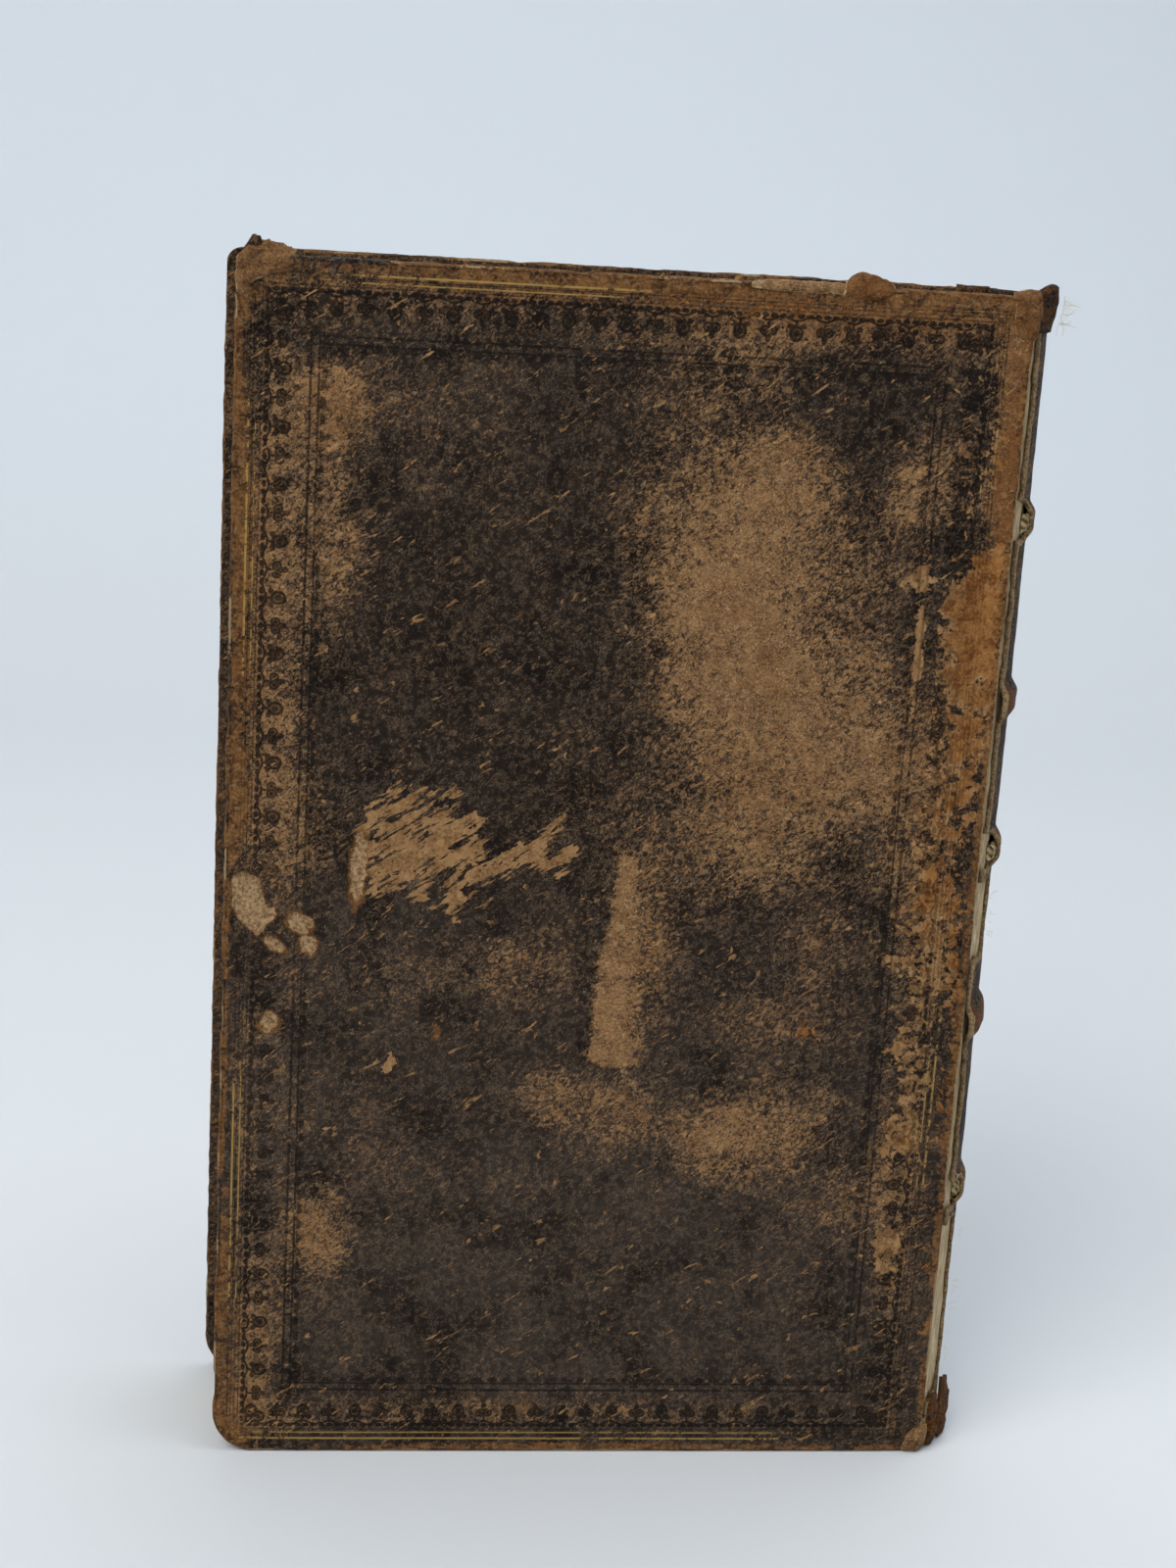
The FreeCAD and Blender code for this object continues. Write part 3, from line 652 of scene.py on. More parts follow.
rearLook = {
    "seed": 3, "fine": 0.47, "coarse": 0.74, "denseX": [(16, 57, 0.42)], "denseZ": [(92, 119, 0.42)],
    "headRadius": 2.6, "tailRadius": 7.0, "jointShift": 1.6, "tailFray": 0.35, "base": 0.17, "grey": 0.16,
    "wear": [(81, 164, 8.5, 9, 0, 0.8), (79, 149, 10, 12, 0, 0.72), (83, 132, 14, 11, -10, 0.78),
             (74, 138, 6, 18, 0, 0.5), (89, 117, 15, 7, 0, 0.55), (66, 156, 8, 15, 0, 0.42),
             (100, 125, 9, 12, 0, 0.45), (104, 164, 4.5, 7, 0, 0.5), (95, 150, 9, 14, 0, 0.38),
             (80, 107, 9, 10, 0, 0.42), (93, 104, 11, 6, 0, 0.3), (66, 93, 6, 20, 3, 0.4),
             (75, 181, 11, 6, 0, 0.34), (62, 62, 9, 7, 0, 0.4), (53, 64, 7, 5, 0, 0.3),
             (86, 56, 12, 7, 0, 0.55), (80, 60, 6, 6, 0, 0.35), (93, 62, 9, 6, 0, 0.3),
             (90, 77, 12, 7, 0, 0.28), (96, 90, 9, 7, 0, 0.25), (16, 39, 5.5, 9, 0, 0.55),
             (15, 174, 6, 5.5, 0, 0.58), (15, 155, 5, 18, 0, 0.4), (13.5, 108, 5, 8, 0, 0.35),
             (26, 84, 9, 6, 0, 0.22), (46, 85, 12, 7, 0, 0.3), (30, 50, 14, 9, 0, 0.12),
             (30, 172, 12, 14, 0, 0.16), (50, 187, 24, 4, 0, 0.12), (104, 46, 8, 5, 0, 0.28),
             (98, 36, 10, 14, 0, 0.12), (56, 112, 7, 9, 0, 0.2), (22, 62, 10, 8, 0, 0.12),
             (60, 40, 10, 12, 0, 0.08), (108, 104, 6, 10, 0, 0.15), (34, 137, 14, 3, 20, 0.15),
             (6, 150, 5, 38, 0, 0.55), (6, 112, 4, 12, 0, 0.4), (10, 80, 4, 70, 0, 0.16),
             (5.5, 22, 4.5, 15, 0, 0.5), (4, 60, 2.6, 26, 0, 0.3), (34, 7.2, 30, 3.2, 0, 0.34),
             (80, 7.2, 30, 3.0, 0, 0.24), (6, 8, 6, 7, 0, 0.5), (96, 189.5, 31, 4.5, 0, 0.5),
             (60, 192, 60, 2.2, 0, 0.45), (22, 189, 16, 3, 0, 0.25), (114, 20, 4, 20, 0, 0.3),
             (111, 120, 6, 22, 0, 0.3), (113, 88, 5, 22, 0, 0.35), (112, 168, 6, 12, 0, 0.3),
             (118.5, 170, 2.6, 30, 0, 0.95), (112, 50, 5, 16, 0, 0.3)],
    "strip": [(60.6, 107.5), (62, 104), (61, 95), (59.2, 88), (58.6, 70), (62, 69.3), (67.6, 69), (69, 73),
              (68.4, 80), (66.5, 88), (66, 95), (65.5, 104)],
    "stripWear": 0.85,
    "torn": [(1.4, 99.9), (3.4, 100.6), (5.8, 99.6), (6.2, 97.2), (7.4, 94.8), (8.4, 95.2), (8.6, 93.2),
             (7.0, 92.0), (5.9, 90.2), (4.6, 91.4), (2.6, 93.0), (1.6, 95.2)],
    "holes": [(12.3, 92.6, 2.6, 1.7, -35, 1.0), (8.6, 88.8, 2.3, 1.0, -35, 1.0),
              (13.6, 89.0, 1.5, 2.2, 30, 0.95), (7.9, 75.7, 1.9, 1.8, 0, 0.85),
              (21.0, 101.6, 1.4, 6.2, -4, 1.0), (34.6, 74.6, 0.9, 1.3, 0, 0.6)],
    "fan": [(22.6, 110.5, 28.4, 116.8, 0.9), (22.2, 108, 31, 114.4, 1.0), (23, 106.4, 36, 114.6, 0.8),
            (22.4, 104, 33, 110.4, 1.8), (23, 101.6, 38.4, 109.2, 2.3), (24, 99.6, 39.6, 105.2, 1.8),
            (23.4, 98, 31.6, 99.6, 0.8), (28.6, 97.8, 31.6, 97.6, 0.7), (35.4, 99.6, 44, 103.6, 1.6),
            (42, 102, 50.4, 107.2, 1.5), (47, 105, 53, 111, 1.0), (50, 103.2, 55.6, 105.6, 0.8),
            (51.6, 101.8, 53, 101.7, 0.6), (36, 96.2, 36.6, 94.2, 0.7), (35.6, 99.4, 37.4, 96.8, 0.6)],
    "fanAmount": 0.76,
    "peel": [(115.5, 125, 5.5, 9, 0, 0.8), (114, 112, 5, 9, 0, 0.7), (113.5, 98, 5, 9, 0, 0.7),
             (115, 86, 4.5, 11, 0, 0.6), (108.5, 87.5, 2.8, 2.8, 0, 0.66), (111, 74, 3, 2.4, 0, 0.95),
             (112, 58, 4, 5.4, 0, 0.9), (111.6, 37.4, 2.4, 5.4, 0, 1.05), (113, 68, 3.4, 6, 0, 0.6),
             (105.4, 150.5, 3.6, 1.3, 25, 0.85), (106.8, 141, 1.0, 12, 0, 0.85),
             (94.5, 76, 1.6, 1.4, 0, 0.85), (27.2, 68.8, 1.0, 1.6, 0, 0.95), (118.8, 52, 1.6, 34, 0, 0.35),
             (110, 166, 3, 6, 0, 0.32), (76, 154, 2.2, 0.7, 0, 0.5), (103, 122, 4, 8, 0, 0.3),
             (115, 172, 3.4, 16, 0, 0.42), (12, 80, 2, 1, 0, 0.4), (60, 141, 1, 1, 0, 0.4),
             (84, 191, 30, 2.2, 0, 0.35), (5, 102.5, 4, 1.3, 10, 0.4)],
    "peeled": [(120.4, 158.6), (120.4, 130), (112.2, 130.4), (110.8, 137), (110.4, 149), (112.7, 152.4),
               (115.6, 156)],
    "rub": [(1.6, 150, 2.0, 40, 0, 0.75), (1.8, 112, 2.4, 10, 0, 0.8), (1.4, 30, 1.8, 26, 0, 0.7),
            (60, 193.6, 66, 1.7, 0, 0.8), (100, 190.5, 24, 2.6, 0, 0.42), (119.4, 70, 1.6, 74, 0, 0.6),
            (3, 4, 5, 5, 0, 0.5), (60, 0.9, 60, 1.1, 0, 0.75), (3.5, 190, 5, 4, 0, 0.5),
            (118, 190, 4, 4, 0, 0.4)],
    "orange": [(116, 144, 5, 14, 0, 0.95), (119, 172, 2.6, 28, 0, 0.7), (115, 120, 5, 16, 0, 0.55),
               (114, 98, 5, 14, 0, 0.5), (118.5, 60, 2.5, 50, 0, 0.6), (1.8, 140, 2.4, 46, 0, 0.8),
               (1.6, 25, 2, 26, 0, 0.7), (60, 192, 64, 3.4, 0, 0.6), (94.5, 76, 2, 2, 0, 0.9),
               (111.6, 58, 4, 6, 0, 0.5), (7, 86, 3, 1.6, 20, 0.9), (9.5, 94.4, 1.6, 1.2, 0, 0.9),
               (100, 189, 20, 4, 0, 0.35), (83, 118, 12, 6, 0, 0.2), (16, 172, 6, 5, 0, 0.3)],
    # Grey patches. The first, broad over the lower half, is painted sheen, the grey of a glancing reflection
    # put into the colour; the smaller ones are grey streaks in the leather.
    "greyAndSheen": [(60, 30, 75, 48, 0, 0.75), (8, 62, 8, 20, 0, 0.6), (24, 88, 16, 14, 0, 0.5),
               (30, 175, 20, 16, 0, 0.3)],
    "dusty": [(55.5, 28, 9, 8, 0, 0.9), (22, 178, 4, 3, 0, 0.8), (40, 55, 40, 30, 0, 0.45),
              (112, 135, 3, 5, 0, 0.9)],
    "gilt": [(34, 3, 30, 2.4, 0, 0.98), (82, 3, 22, 2.2, 0, 0.66), (38, 192, 24, 2.6, 0, 0.85),
             (3, 150, 2.6, 28, 0, 0.62), (3, 52, 2.6, 15, 0, 0.92), (116, 66, 2.6, 26, 0, 0.58),
             (3, 26, 2.6, 12, 0, 0.4)],
    "blank": [(116, 142, 6, 16, 0, 0.9), (6, 94, 8, 8, 0, 0.9), (5, 62, 4, 14, 0, 0.35),
              (112, 70, 5, 8, 0, 0.3)],
    "dents": [(22, 88, 3, 8, 10, 0.12), (40, 125, 16, 2, 35, 0.08), (62, 178, 14, 3, 10, 0.05)],
    "corners": [(1.5, 193.5, 3.6, 0.34), (119, 194, 2.6, 0.25), (3, 2.5, 4.0, 0.16), (119.5, 1.5, 2.5, 0.3)],
}

frontLook = {
    "seed": 23, "fine": 0.6, "coarse": 0.9, "denseX": [], "denseZ": [],
    "headRadius": 2.6, "tailRadius": 7.0, "jointShift": 1.6, "tailFray": 0.35, "base": 0.24, "grey": 0.25,
    "wear": [(60, 110, 34, 46, 12, 0.28), (28, 150, 16, 22, -20, 0.26), (92, 60, 16, 26, 10, 0.3),
             (60, 30, 26, 10, 0, 0.22), (6, 100, 5, 90, 0, 0.45), (60, 6, 60, 4, 0, 0.45),
             (60, 189, 60, 4, 0, 0.45), (114, 100, 5, 90, 0, 0.35), (18, 22, 9, 9, 0, 0.4),
             (88, 172, 12, 8, 0, 0.3)],
    "strip": None, "stripWear": 0, "torn": None, "holes": [], "fan": None, "fanAmount": 0,
    "peel": [(114, 150, 3, 16, 0, 0.42), (116, 60, 3, 22, 0, 0.42), (70, 121, 3, 1.2, 30, 0.5)],
    "peeled": None,
    "rub": [(1.4, 100, 1.8, 96, 0, 0.7), (60, 193.8, 66, 1.6, 0, 0.7), (60, 1, 62, 1.2, 0, 0.75),
            (119.2, 100, 1.6, 96, 0, 0.55), (3, 4, 5, 5, 0, 0.5), (3.5, 190, 5, 4, 0, 0.5)],
    "orange": [(1.8, 100, 2.4, 90, 0, 0.6), (60, 192, 64, 3, 0, 0.5), (118.5, 100, 2.5, 90, 0, 0.5)],
    "greyAndSheen": [(60, 60, 70, 60, 0, 0.6)],
    "dusty": [(60, 120, 50, 50, 0, 0.4)],
    "gilt": [(40, 3, 34, 2.4, 0, 0.7), (60, 192, 34, 2.4, 0, 0.66), (3, 70, 2.6, 34, 0, 0.62)],
    "blank": [(60, 98, 30, 50, 0, 0.0)],
    "dents": [(50, 70, 30, 14, 20, 0.08)],
    "corners": [(1.5, 193.5, 3.2, 0.25), (119, 194, 2.6, 0.2), (3, 2.5, 4.0, 0.16), (119.5, 1.5, 2.5, 0.25)],
}

makeCoverSkin("rear_cover_skin", "rear_cover_leather", "rear", rearLook)
makeCoverSkin("front_cover_skin", "front_cover_leather", "front", frontLook)


def makeSpineMaterial():
    material, tree, shader = newMaterial("spineSkin", 0.6, 0.1)
    place = placeInMm(tree)
    skin = useGroup(tree, skinGroup, Place=place, Wear=pointValue(tree, "wear"),
                    Orange=pointValue(tree, "orange"), Grey=0.15)
    ragged = noiseField(tree, place, 0.9, 6.0, 0.68, 0.3)
    fine = noiseField(tree, place, 2.2, 4.0, 0.62)
    rub = (pointValue(tree, "rub") + (ragged - 0.5) * 1.3).step(0.45, 0.65)
    red = mixTones(tree, fine.step(0.35, 0.65), "#5a3018", "#94602f")
    tint = mixTones(tree, rub * 0.85, skin["Tone"], red)
    flesh = mixTones(tree, fine.step(0.35, 0.65), "#94714a", "#d6b88c")
    torn = (pointValue(tree, "torn") + (ragged - 0.5) * 1.3).step(0.5, 0.62)
    tint = mixTones(tree, torn, tint, flesh)
    tree.links.new(tint.socket, shader.inputs["Base Color"])
    addBump(tree, shader, skin["Height"] * 2.0 + ragged * 0.6 + fine * 0.3 - torn * 0.1, 1.0)
    return material


spineLook = {
    "centre": (42.8434, -1.2828), "radius": 20.7845, "lean": 4.9777, "half": 42.5985, "capHalf": 34.0,
    "skin": 0.68, "bands": (47.0, 77.5, 106.0, 131.0, 160.0), "bandWidth": 5.2, "bandHeight": 1.25,
    "losses": [
        ((-44, 88.4), (-44, 100.8), (-34, 101.6), (-24, 100.6), (-18.6, 98.8), (-19.5, 93), (-18.8, 89.6),
         (-30, 88.2)),
        ((-44, 8.6), (-44, 41.4), (-33, 41.8), (-20, 40.4), (-18.2, 33), (-19.6, 22), (-18.4, 12),
         (-23, 9.6)),
        ((-44, 49.6), (-44, 75.2), (-39.5, 74.6), (-37.2, 66), (-38.6, 58), (-36.4, 51.5)),
        ((-44, 44.6), (-44, 49.8), (-31, 49.0), (-29, 46.6), (-33, 44.2)),
        ((-44, 103.6), (-44, 109.6), (-29, 108.6), (-27.5, 105.4), (-33, 103.4)),
        ((-44, 157.4), (-44, 163.4), (-32, 162.4), (-30.6, 159.4), (-35, 157.0)),
        ((-44, 110), (-44, 129), (-41.2, 128), (-40.2, 118), (-41.4, 111)),
        ((-44, 133), (-44, 157), (-41.6, 156), (-40.6, 146), (-41.8, 134)),
        ((-44, 163), (-44, 191), (-40.4, 190), (-38.6, 178), (-40.8, 165)),
        ((-29.4, -1), (-27.6, 5.2), (-26.6, 5.4), (-26.2, -1))],
}


# The spine leather: raised bands, caps at both ends, and the leather lost at the rear joint.
def makeSpineSkin(look):
    turns = np.linspace(-look["half"], look["half"], 92)
    heights = np.linspace(0.15, 194.85, 425)
    turn, z = np.meshgrid(turns, heights, indexing="ij")
    arc = np.radians(turn) * look["radius"]
    radius = np.full(turn.shape, look["radius"])
    raised = np.zeros(turn.shape)
    for number, band in enumerate(look["bands"]):
        wander = band + 0.5 * softNoise(arc, z * 0, 9.0, 50 + number)
        profile = easeStep(-np.abs(z - wander), -look["bandWidth"] / 2 - 0.9, -look["bandWidth"] / 2 + 1.5)
        raised = np.maximum(raised, profile * (0.9 + 0.1 * softNoise(arc, z, 3.0, 60 + number)))
    radius = radius - 0.06 + look["bandHeight"] * raised
    radius += 0.12 * layeredNoise(arc, z, 5.0, 71) - 0.1 + 0.05 * layeredNoise(arc, z, 1.2, 74)
    centre = 1 - easeStep(np.abs(turn), look["capHalf"] - 7, look["capHalf"])
    for end in (0.0, 195.0):
        gap = np.abs(z - end)
        radius -= centre * 2.2 * easeStep(-gap, -1.9, -0.15) ** 1.6
        radius += centre * 0.1 * easeStep(-gap, -4.2, -2.0)
    wander = 0.7 * layeredNoise(arc, z, 4.0, 81) + 0.3 * softNoise(arc, z, 0.9, 85)
    loss = np.full(turn.shape, 1e9)
    for corners in look["losses"]:
        outline = [(t * math.pi / 180 * look["radius"], h) for t, h in corners]
        loss = np.minimum(loss, polygonDistance(arc + wander, z + wander, outline))
    angle = np.radians(turn + look["lean"])
    x = look["centre"][0] + radius * np.cos(angle)
    y = look["centre"][1] + radius * np.sin(angle)
    points = np.stack([x, y, z], -1).reshape(-1, 3) * mm
    index = np.arange(turn.size).reshape(turn.shape)
    quads = np.stack([index[:-1, :-1], index[1:, :-1], index[1:, 1:], index[:-1, 1:]], -1).reshape(-1, 4)
    keep = loss.ravel()[quads].min(axis=1) > 0
    made = meshObject("spine_skin", points, quads[keep].tolist())
    lossEdge = np.exp(-(loss.ravel() / 1.2) ** 2)
    edge = easeStep(np.abs(turn).ravel(), 34, 42)
    panel = layeredNoise(arc, z, 8.0, 91).ravel()
    addValues(
        made,
        wear=np.clip(0.3 + 0.35 * raised.ravel() + 0.25 * panel + 0.2 * edge, 0, 1),
        orange=np.clip(0.25 + 0.4 * raised.ravel() + 0.3 * edge, 0, 1),
        rub=np.clip(0.75 * raised.ravel() * (0.6 + panel) + 0.45 * edge + 0.2, 0, 1),
        torn=np.clip(0.95 * lossEdge + 0.85 * easeStep(-turn.ravel(), 38.0, 41.5), 0, 1))
    made.data.materials.append(spineMaterial)
    skin = made.modifiers.new("thickness", "SOLIDIFY")
    skin.thickness = look["skin"] * mm
    skin.offset = -1
    skin.use_quality_normals = True
    applyModifiers(made)
    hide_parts("spine_leather")
    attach(made, "book_block")
    print("spine_skin has", len(made.data.polygons) * 2, "triangles")
    return made


def applyModifiers(made):
    shown = bpy.context.evaluated_depsgraph_get()
    final = bpy.data.meshes.new_from_object(made.evaluated_get(shown), depsgraph=shown)
    made.modifiers.clear()
    made.data = final


spineMaterial = makeSpineMaterial()
makeSpineSkin(spineLook)


def makePaperMaterial():
    material, tree, shader = newMaterial("pageEdges", 0.85, 0.15)
    place = placeInMm(tree)
    x, y, z = splitVector(tree, place)
    leafPlace = joinVector(tree, x * 0.05, y * 1.0, z * 0.05)
    leaves = noiseField(tree, leafPlace, 5.5, 5.0, 0.75)
    groups = noiseField(tree, leafPlace, 0.9, 3.0, 0.6)
    stain = noiseField(tree, place, 0.07, 5.0, 0.6)
    fine = noiseField(tree, place, 1.3, 4.0, 0.65)
    # Darker where the leaf noise is low, where the bump below sinks the page edge: painted shade between the
    # leaves, over the paper's own tone.
    paper = mixTones(tree, leaves.step(0.36, 0.64), "#a58a62", "#e6d2ad")
    paper = mixTones(tree, groups.step(0.4, 0.62) * 0.3, paper, "#bfa478")
    paper = mixTones(tree, stain.step(0.52, 0.72) * 0.45, paper, "#7b6542")
    paper = mixTones(tree, fine.step(0.6, 0.7) * 0.4, paper, "#6a5538")
    leaf = mixTones(tree, stain.step(0.4, 0.66), "#cfbb92", "#c1aa80")
    leaf = mixTones(tree, fine.step(0.62, 0.7) * 0.3, leaf, "#93794f")
    flat = (y * y).step(127.0, 129.4) * (1.0 - x.step(55.5, 57.0))
    paper = mixTones(tree, flat, paper, leaf)
    tree.links.new(paper.socket, shader.inputs["Base Color"])
    addBump(tree, shader, (leaves * 0.35 + groups * 0.25) * (1.0 - flat) + fine * 0.05, 0.9)
    return material


def makePlainMaterial(name, low, high, spots, scale, relief, roughness=0.8):
    material, tree, shader = newMaterial(name, roughness, 0.2)
    place = placeInMm(tree)
    broad = noiseField(tree, place, scale * 0.12, 4.0, 0.6)
    fine = noiseField(tree, place, scale, 5.0, 0.68)
    tint = mixTones(tree, (broad * 0.6 + fine * 0.4).step(0.36, 0.64), low, high)
    tint = mixTones(tree, fine.step(0.6, 0.72) * 0.7, tint, spots)
    tree.links.new(tint.socket, shader.inputs["Base Color"])
    addBump(tree, shader, fine * relief, 0.9)
    return material


def makeThreadMaterial(name, low, high, pitch):
    material, tree, shader = newMaterial(name, 0.85, 0.15)
    place = placeInMm(tree)
    x, y, z = splitVector(tree, place)
    twist = ((x + y * 0.6 + z) / pitch).work("FRACT")
    strand = (twist - 0.5).size()
    fine = noiseField(tree, place, 3.0, 4.0, 0.7)
    # Light on each strand's crown and dark in the grooves between strands, which the bump sinks: painted
    # highlight and painted shade of the twist.
    tint = mixTones(tree, (strand + (fine - 0.5) * 0.5).step(0.05, 0.45), high, low)
    tree.links.new(tint.socket, shader.inputs["Base Color"])
    addBump(tree, shader, fine * 0.15 - strand * 0.3, 0.9)
    return material


paperMaterial = makePaperMaterial()
endpaperMaterial = makePlainMaterial("endpaper", "#b7a178", "#cbb78e", "#a68b60", 1.4, 0.03)
boardMaterial = makePlainMaterial("pasteboard", "#6f6149", "#a08f6f", "#4f4330", 1.6, 0.12)
hempMaterial = makeThreadMaterial("hempCord", "#6d5836", "#c9b68d", 1.3)
endbandMaterial = makeThreadMaterial("endbandThread", "#5c5a3c", "#b8ae86", 0.9)
finishes = {
    "rear_board": boardMaterial, "front_board": boardMaterial, "rear_cord_slips": hempMaterial,
    "front_cord_slips": hempMaterial, "rear_pastedown": endpaperMaterial, "front_pastedown": endpaperMaterial,
}
for label, material in finishes.items():
    nodes[label].data.materials.clear()
    nodes[label].data.materials.append(material)
print("materials set on the carried-over pieces")

blockLook = {"centre": (42.8434, -1.2828), "radius": 20.0545, "lean": 4.9777, "half": 11.4, "shoulder": 13.52,
             "foreRear": -59.03, "foreFront": -61.73, "hollow": 3.5, "low": 3.0,
             "high": 192.0, "sections": 15}


# The page block: leaves ragged at head, tail and fore-edge, and the folded sections at the spine.
def makeTextBlock(look):
    share = np.linspace(0, 1, 226)
    along = np.concatenate([np.linspace(0, 0.96, 30), np.linspace(0.968, 1, 7)])
    levels = np.linspace(0, 1, 80)
    flatY = -look["half"] + 2 * look["half"] * share
    backY = -look["shoulder"] + 2 * look["shoulder"] * share
    chord = look["foreRear"] + (look["foreFront"] - look["foreRear"]) * share
    foreX = chord + look["hollow"] * (1 - (2 * share - 1) ** 2)
    fold = np.abs(np.sin(share * math.pi * look["sections"])) ** 0.45
    radius = look["radius"] - 0.6 * (1 - fold)
    backX = look["centre"][0] + np.sqrt(radius ** 2 - (backY - look["centre"][1]) ** 2)

    def sheaf(s, t, w):
        deep = np.interp(s, share, foreX)
        back = np.interp(s, share, backX)
        leaf = softNoise(s * 27, w * 3 + 5, 0.17, 201)
        group = softNoise(s * 27, w * 1.5, 1.6, 202)
        fray = softNoise(s * 27, w * 189, 2.4, 203)
        deep = deep + 0.16 * (1 + leaf) + 0.12 * (1 + group) + 0.08 * (1 + fray)
        worn = softNoise(s * 27, w * 189, 5.0, 204) + 0.6 * softNoise(s * 27, w * 189, 1.1, 205)
        back = back - 0.12 * (1 + leaf) - 0.1 * (1 + worn)
        x = deep + (back - deep) * t
        bend = easeStep(t, 0.965, 1.0)
        y = np.interp(s, share, flatY) * (1 - bend) + np.interp(s, share, backY) * bend
        ends = softNoise(s * 27, x, 0.2, 206) * 0.14 + softNoise(s * 27, x, 1.7, 207) * 0.14
        ends = 0.3 + ends + 0.1 * softNoise(x, s * 27, 9.0, 208)
        z = look["low"] + (look["high"] - look["low"]) * w
        z = np.where(w == 0, z + ends, np.where(w == 1, z - ends, z))
        return np.stack([x, y, z], -1) * mm

    grids = []
    for w in (0.0, 1.0):
        s, t = np.meshgrid(share, along, indexing="ij")
        grids.append(sheaf(s, t, np.full_like(s, w)))
    for t in (0.0, 1.0):
        s, w = np.meshgrid(share, levels, indexing="ij")
        grids.append(sheaf(s, np.full_like(s, t), w))
    for s in (0.0, 1.0):
        t, w = np.meshgrid(along, levels, indexing="ij")
        grids.append(sheaf(np.full_like(t, s), t, w))
    points = []
    faces = []
    for grid in grids:
        index = np.arange(grid.shape[0] * grid.shape[1]).reshape(grid.shape[:2]) + len(points)
        points += grid.reshape(-1, 3).tolist()
        faces += gridFaces(index)
    made = meshObject("page_block", points, faces)
    mesh = bmesh.new()
    mesh.from_mesh(made.data)
    bmesh.ops.remove_doubles(mesh, verts=mesh.verts, dist=1e-6)
    bmesh.ops.recalc_face_normals(mesh, faces=mesh.faces)
    mesh.to_mesh(made.data)
    mesh.free()
    finishPiece(made, paperMaterial, "page_paper", "book_block", "text_block")


def finishPiece(made, material, slotName, body, *replaced):
    made.data.materials.clear()
    made.data.materials.append(material)
    if replaced:
        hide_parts(*replaced)
    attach(made, body)
    print(made.name, "has", sum(len(p.vertices) - 2 for p in made.data.polygons), "triangles")


# A laid cord or a thread-wound core that follows the arc of the spine.
def makeArcCord(name, node, radius, z, look, material, slotName):
    turns = np.linspace(-look["reach"], look["reach"], look["count"])
    around = np.linspace(0, 2 * math.pi, 21)[:-1]
    turn, spin = np.meshgrid(turns, around, indexing="ij")
    arc = np.radians(turn) * radius
    strands = 1 + look["depth"] * np.cos(look["strands"] * spin - arc * look["twist"])
    strands += 0.05 * softNoise(arc, spin * 2, 0.7, int(z) + 3)
    up = look["high"] / 2 * np.sin(spin) * strands
    out = look["thick"] / 2 * np.cos(spin) * strands
    angle = np.radians(turn + spineLook["lean"])
    x = spineLook["centre"][0] + (radius + out) * np.cos(angle)
    y = spineLook["centre"][1] + (radius + out) * np.sin(angle)
    points = np.stack([x, y, z + up], -1).reshape(-1, 3) * mm
    index = np.arange(turn.size).reshape(turn.shape)
    wrapped = np.roll(index, -1, axis=1)
    faces = np.stack([index[:-1], index[1:], wrapped[1:], wrapped[:-1]], -1).reshape(-1, 4).tolist()
    faces += [index[0].tolist()[::-1], index[-1].tolist()]
    made = meshObject(name, points, faces)
    finishPiece(made, material, slotName, "book_block", node)


makeTextBlock(blockLook)
cordLook = {"reach": 33.5, "count": 90, "depth": 0.1, "strands": 3, "twist": 2.6, "high": 2.7, "thick": 1.15}
for number, band in enumerate(spineLook["bands"], 1):
    makeArcCord(f"laid_cord_{number}", f"sewing_cord_{number}", cordRadius, band, cordLook,
                hempMaterial, "hemp_cord")
rollLook = {"reach": 30.0, "count": 260, "depth": 0.07, "strands": 1, "twist": 9.0, "high": 1.8, "thick": 1.8}
for side in ("head", "tail"):
    lo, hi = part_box(side + "_endband")
    makeArcCord(side + "_band_roll", side + "_endband", rollRadius, (lo.z + hi.z) / 2 / mm, rollLook,
                endbandMaterial, "endband_thread")


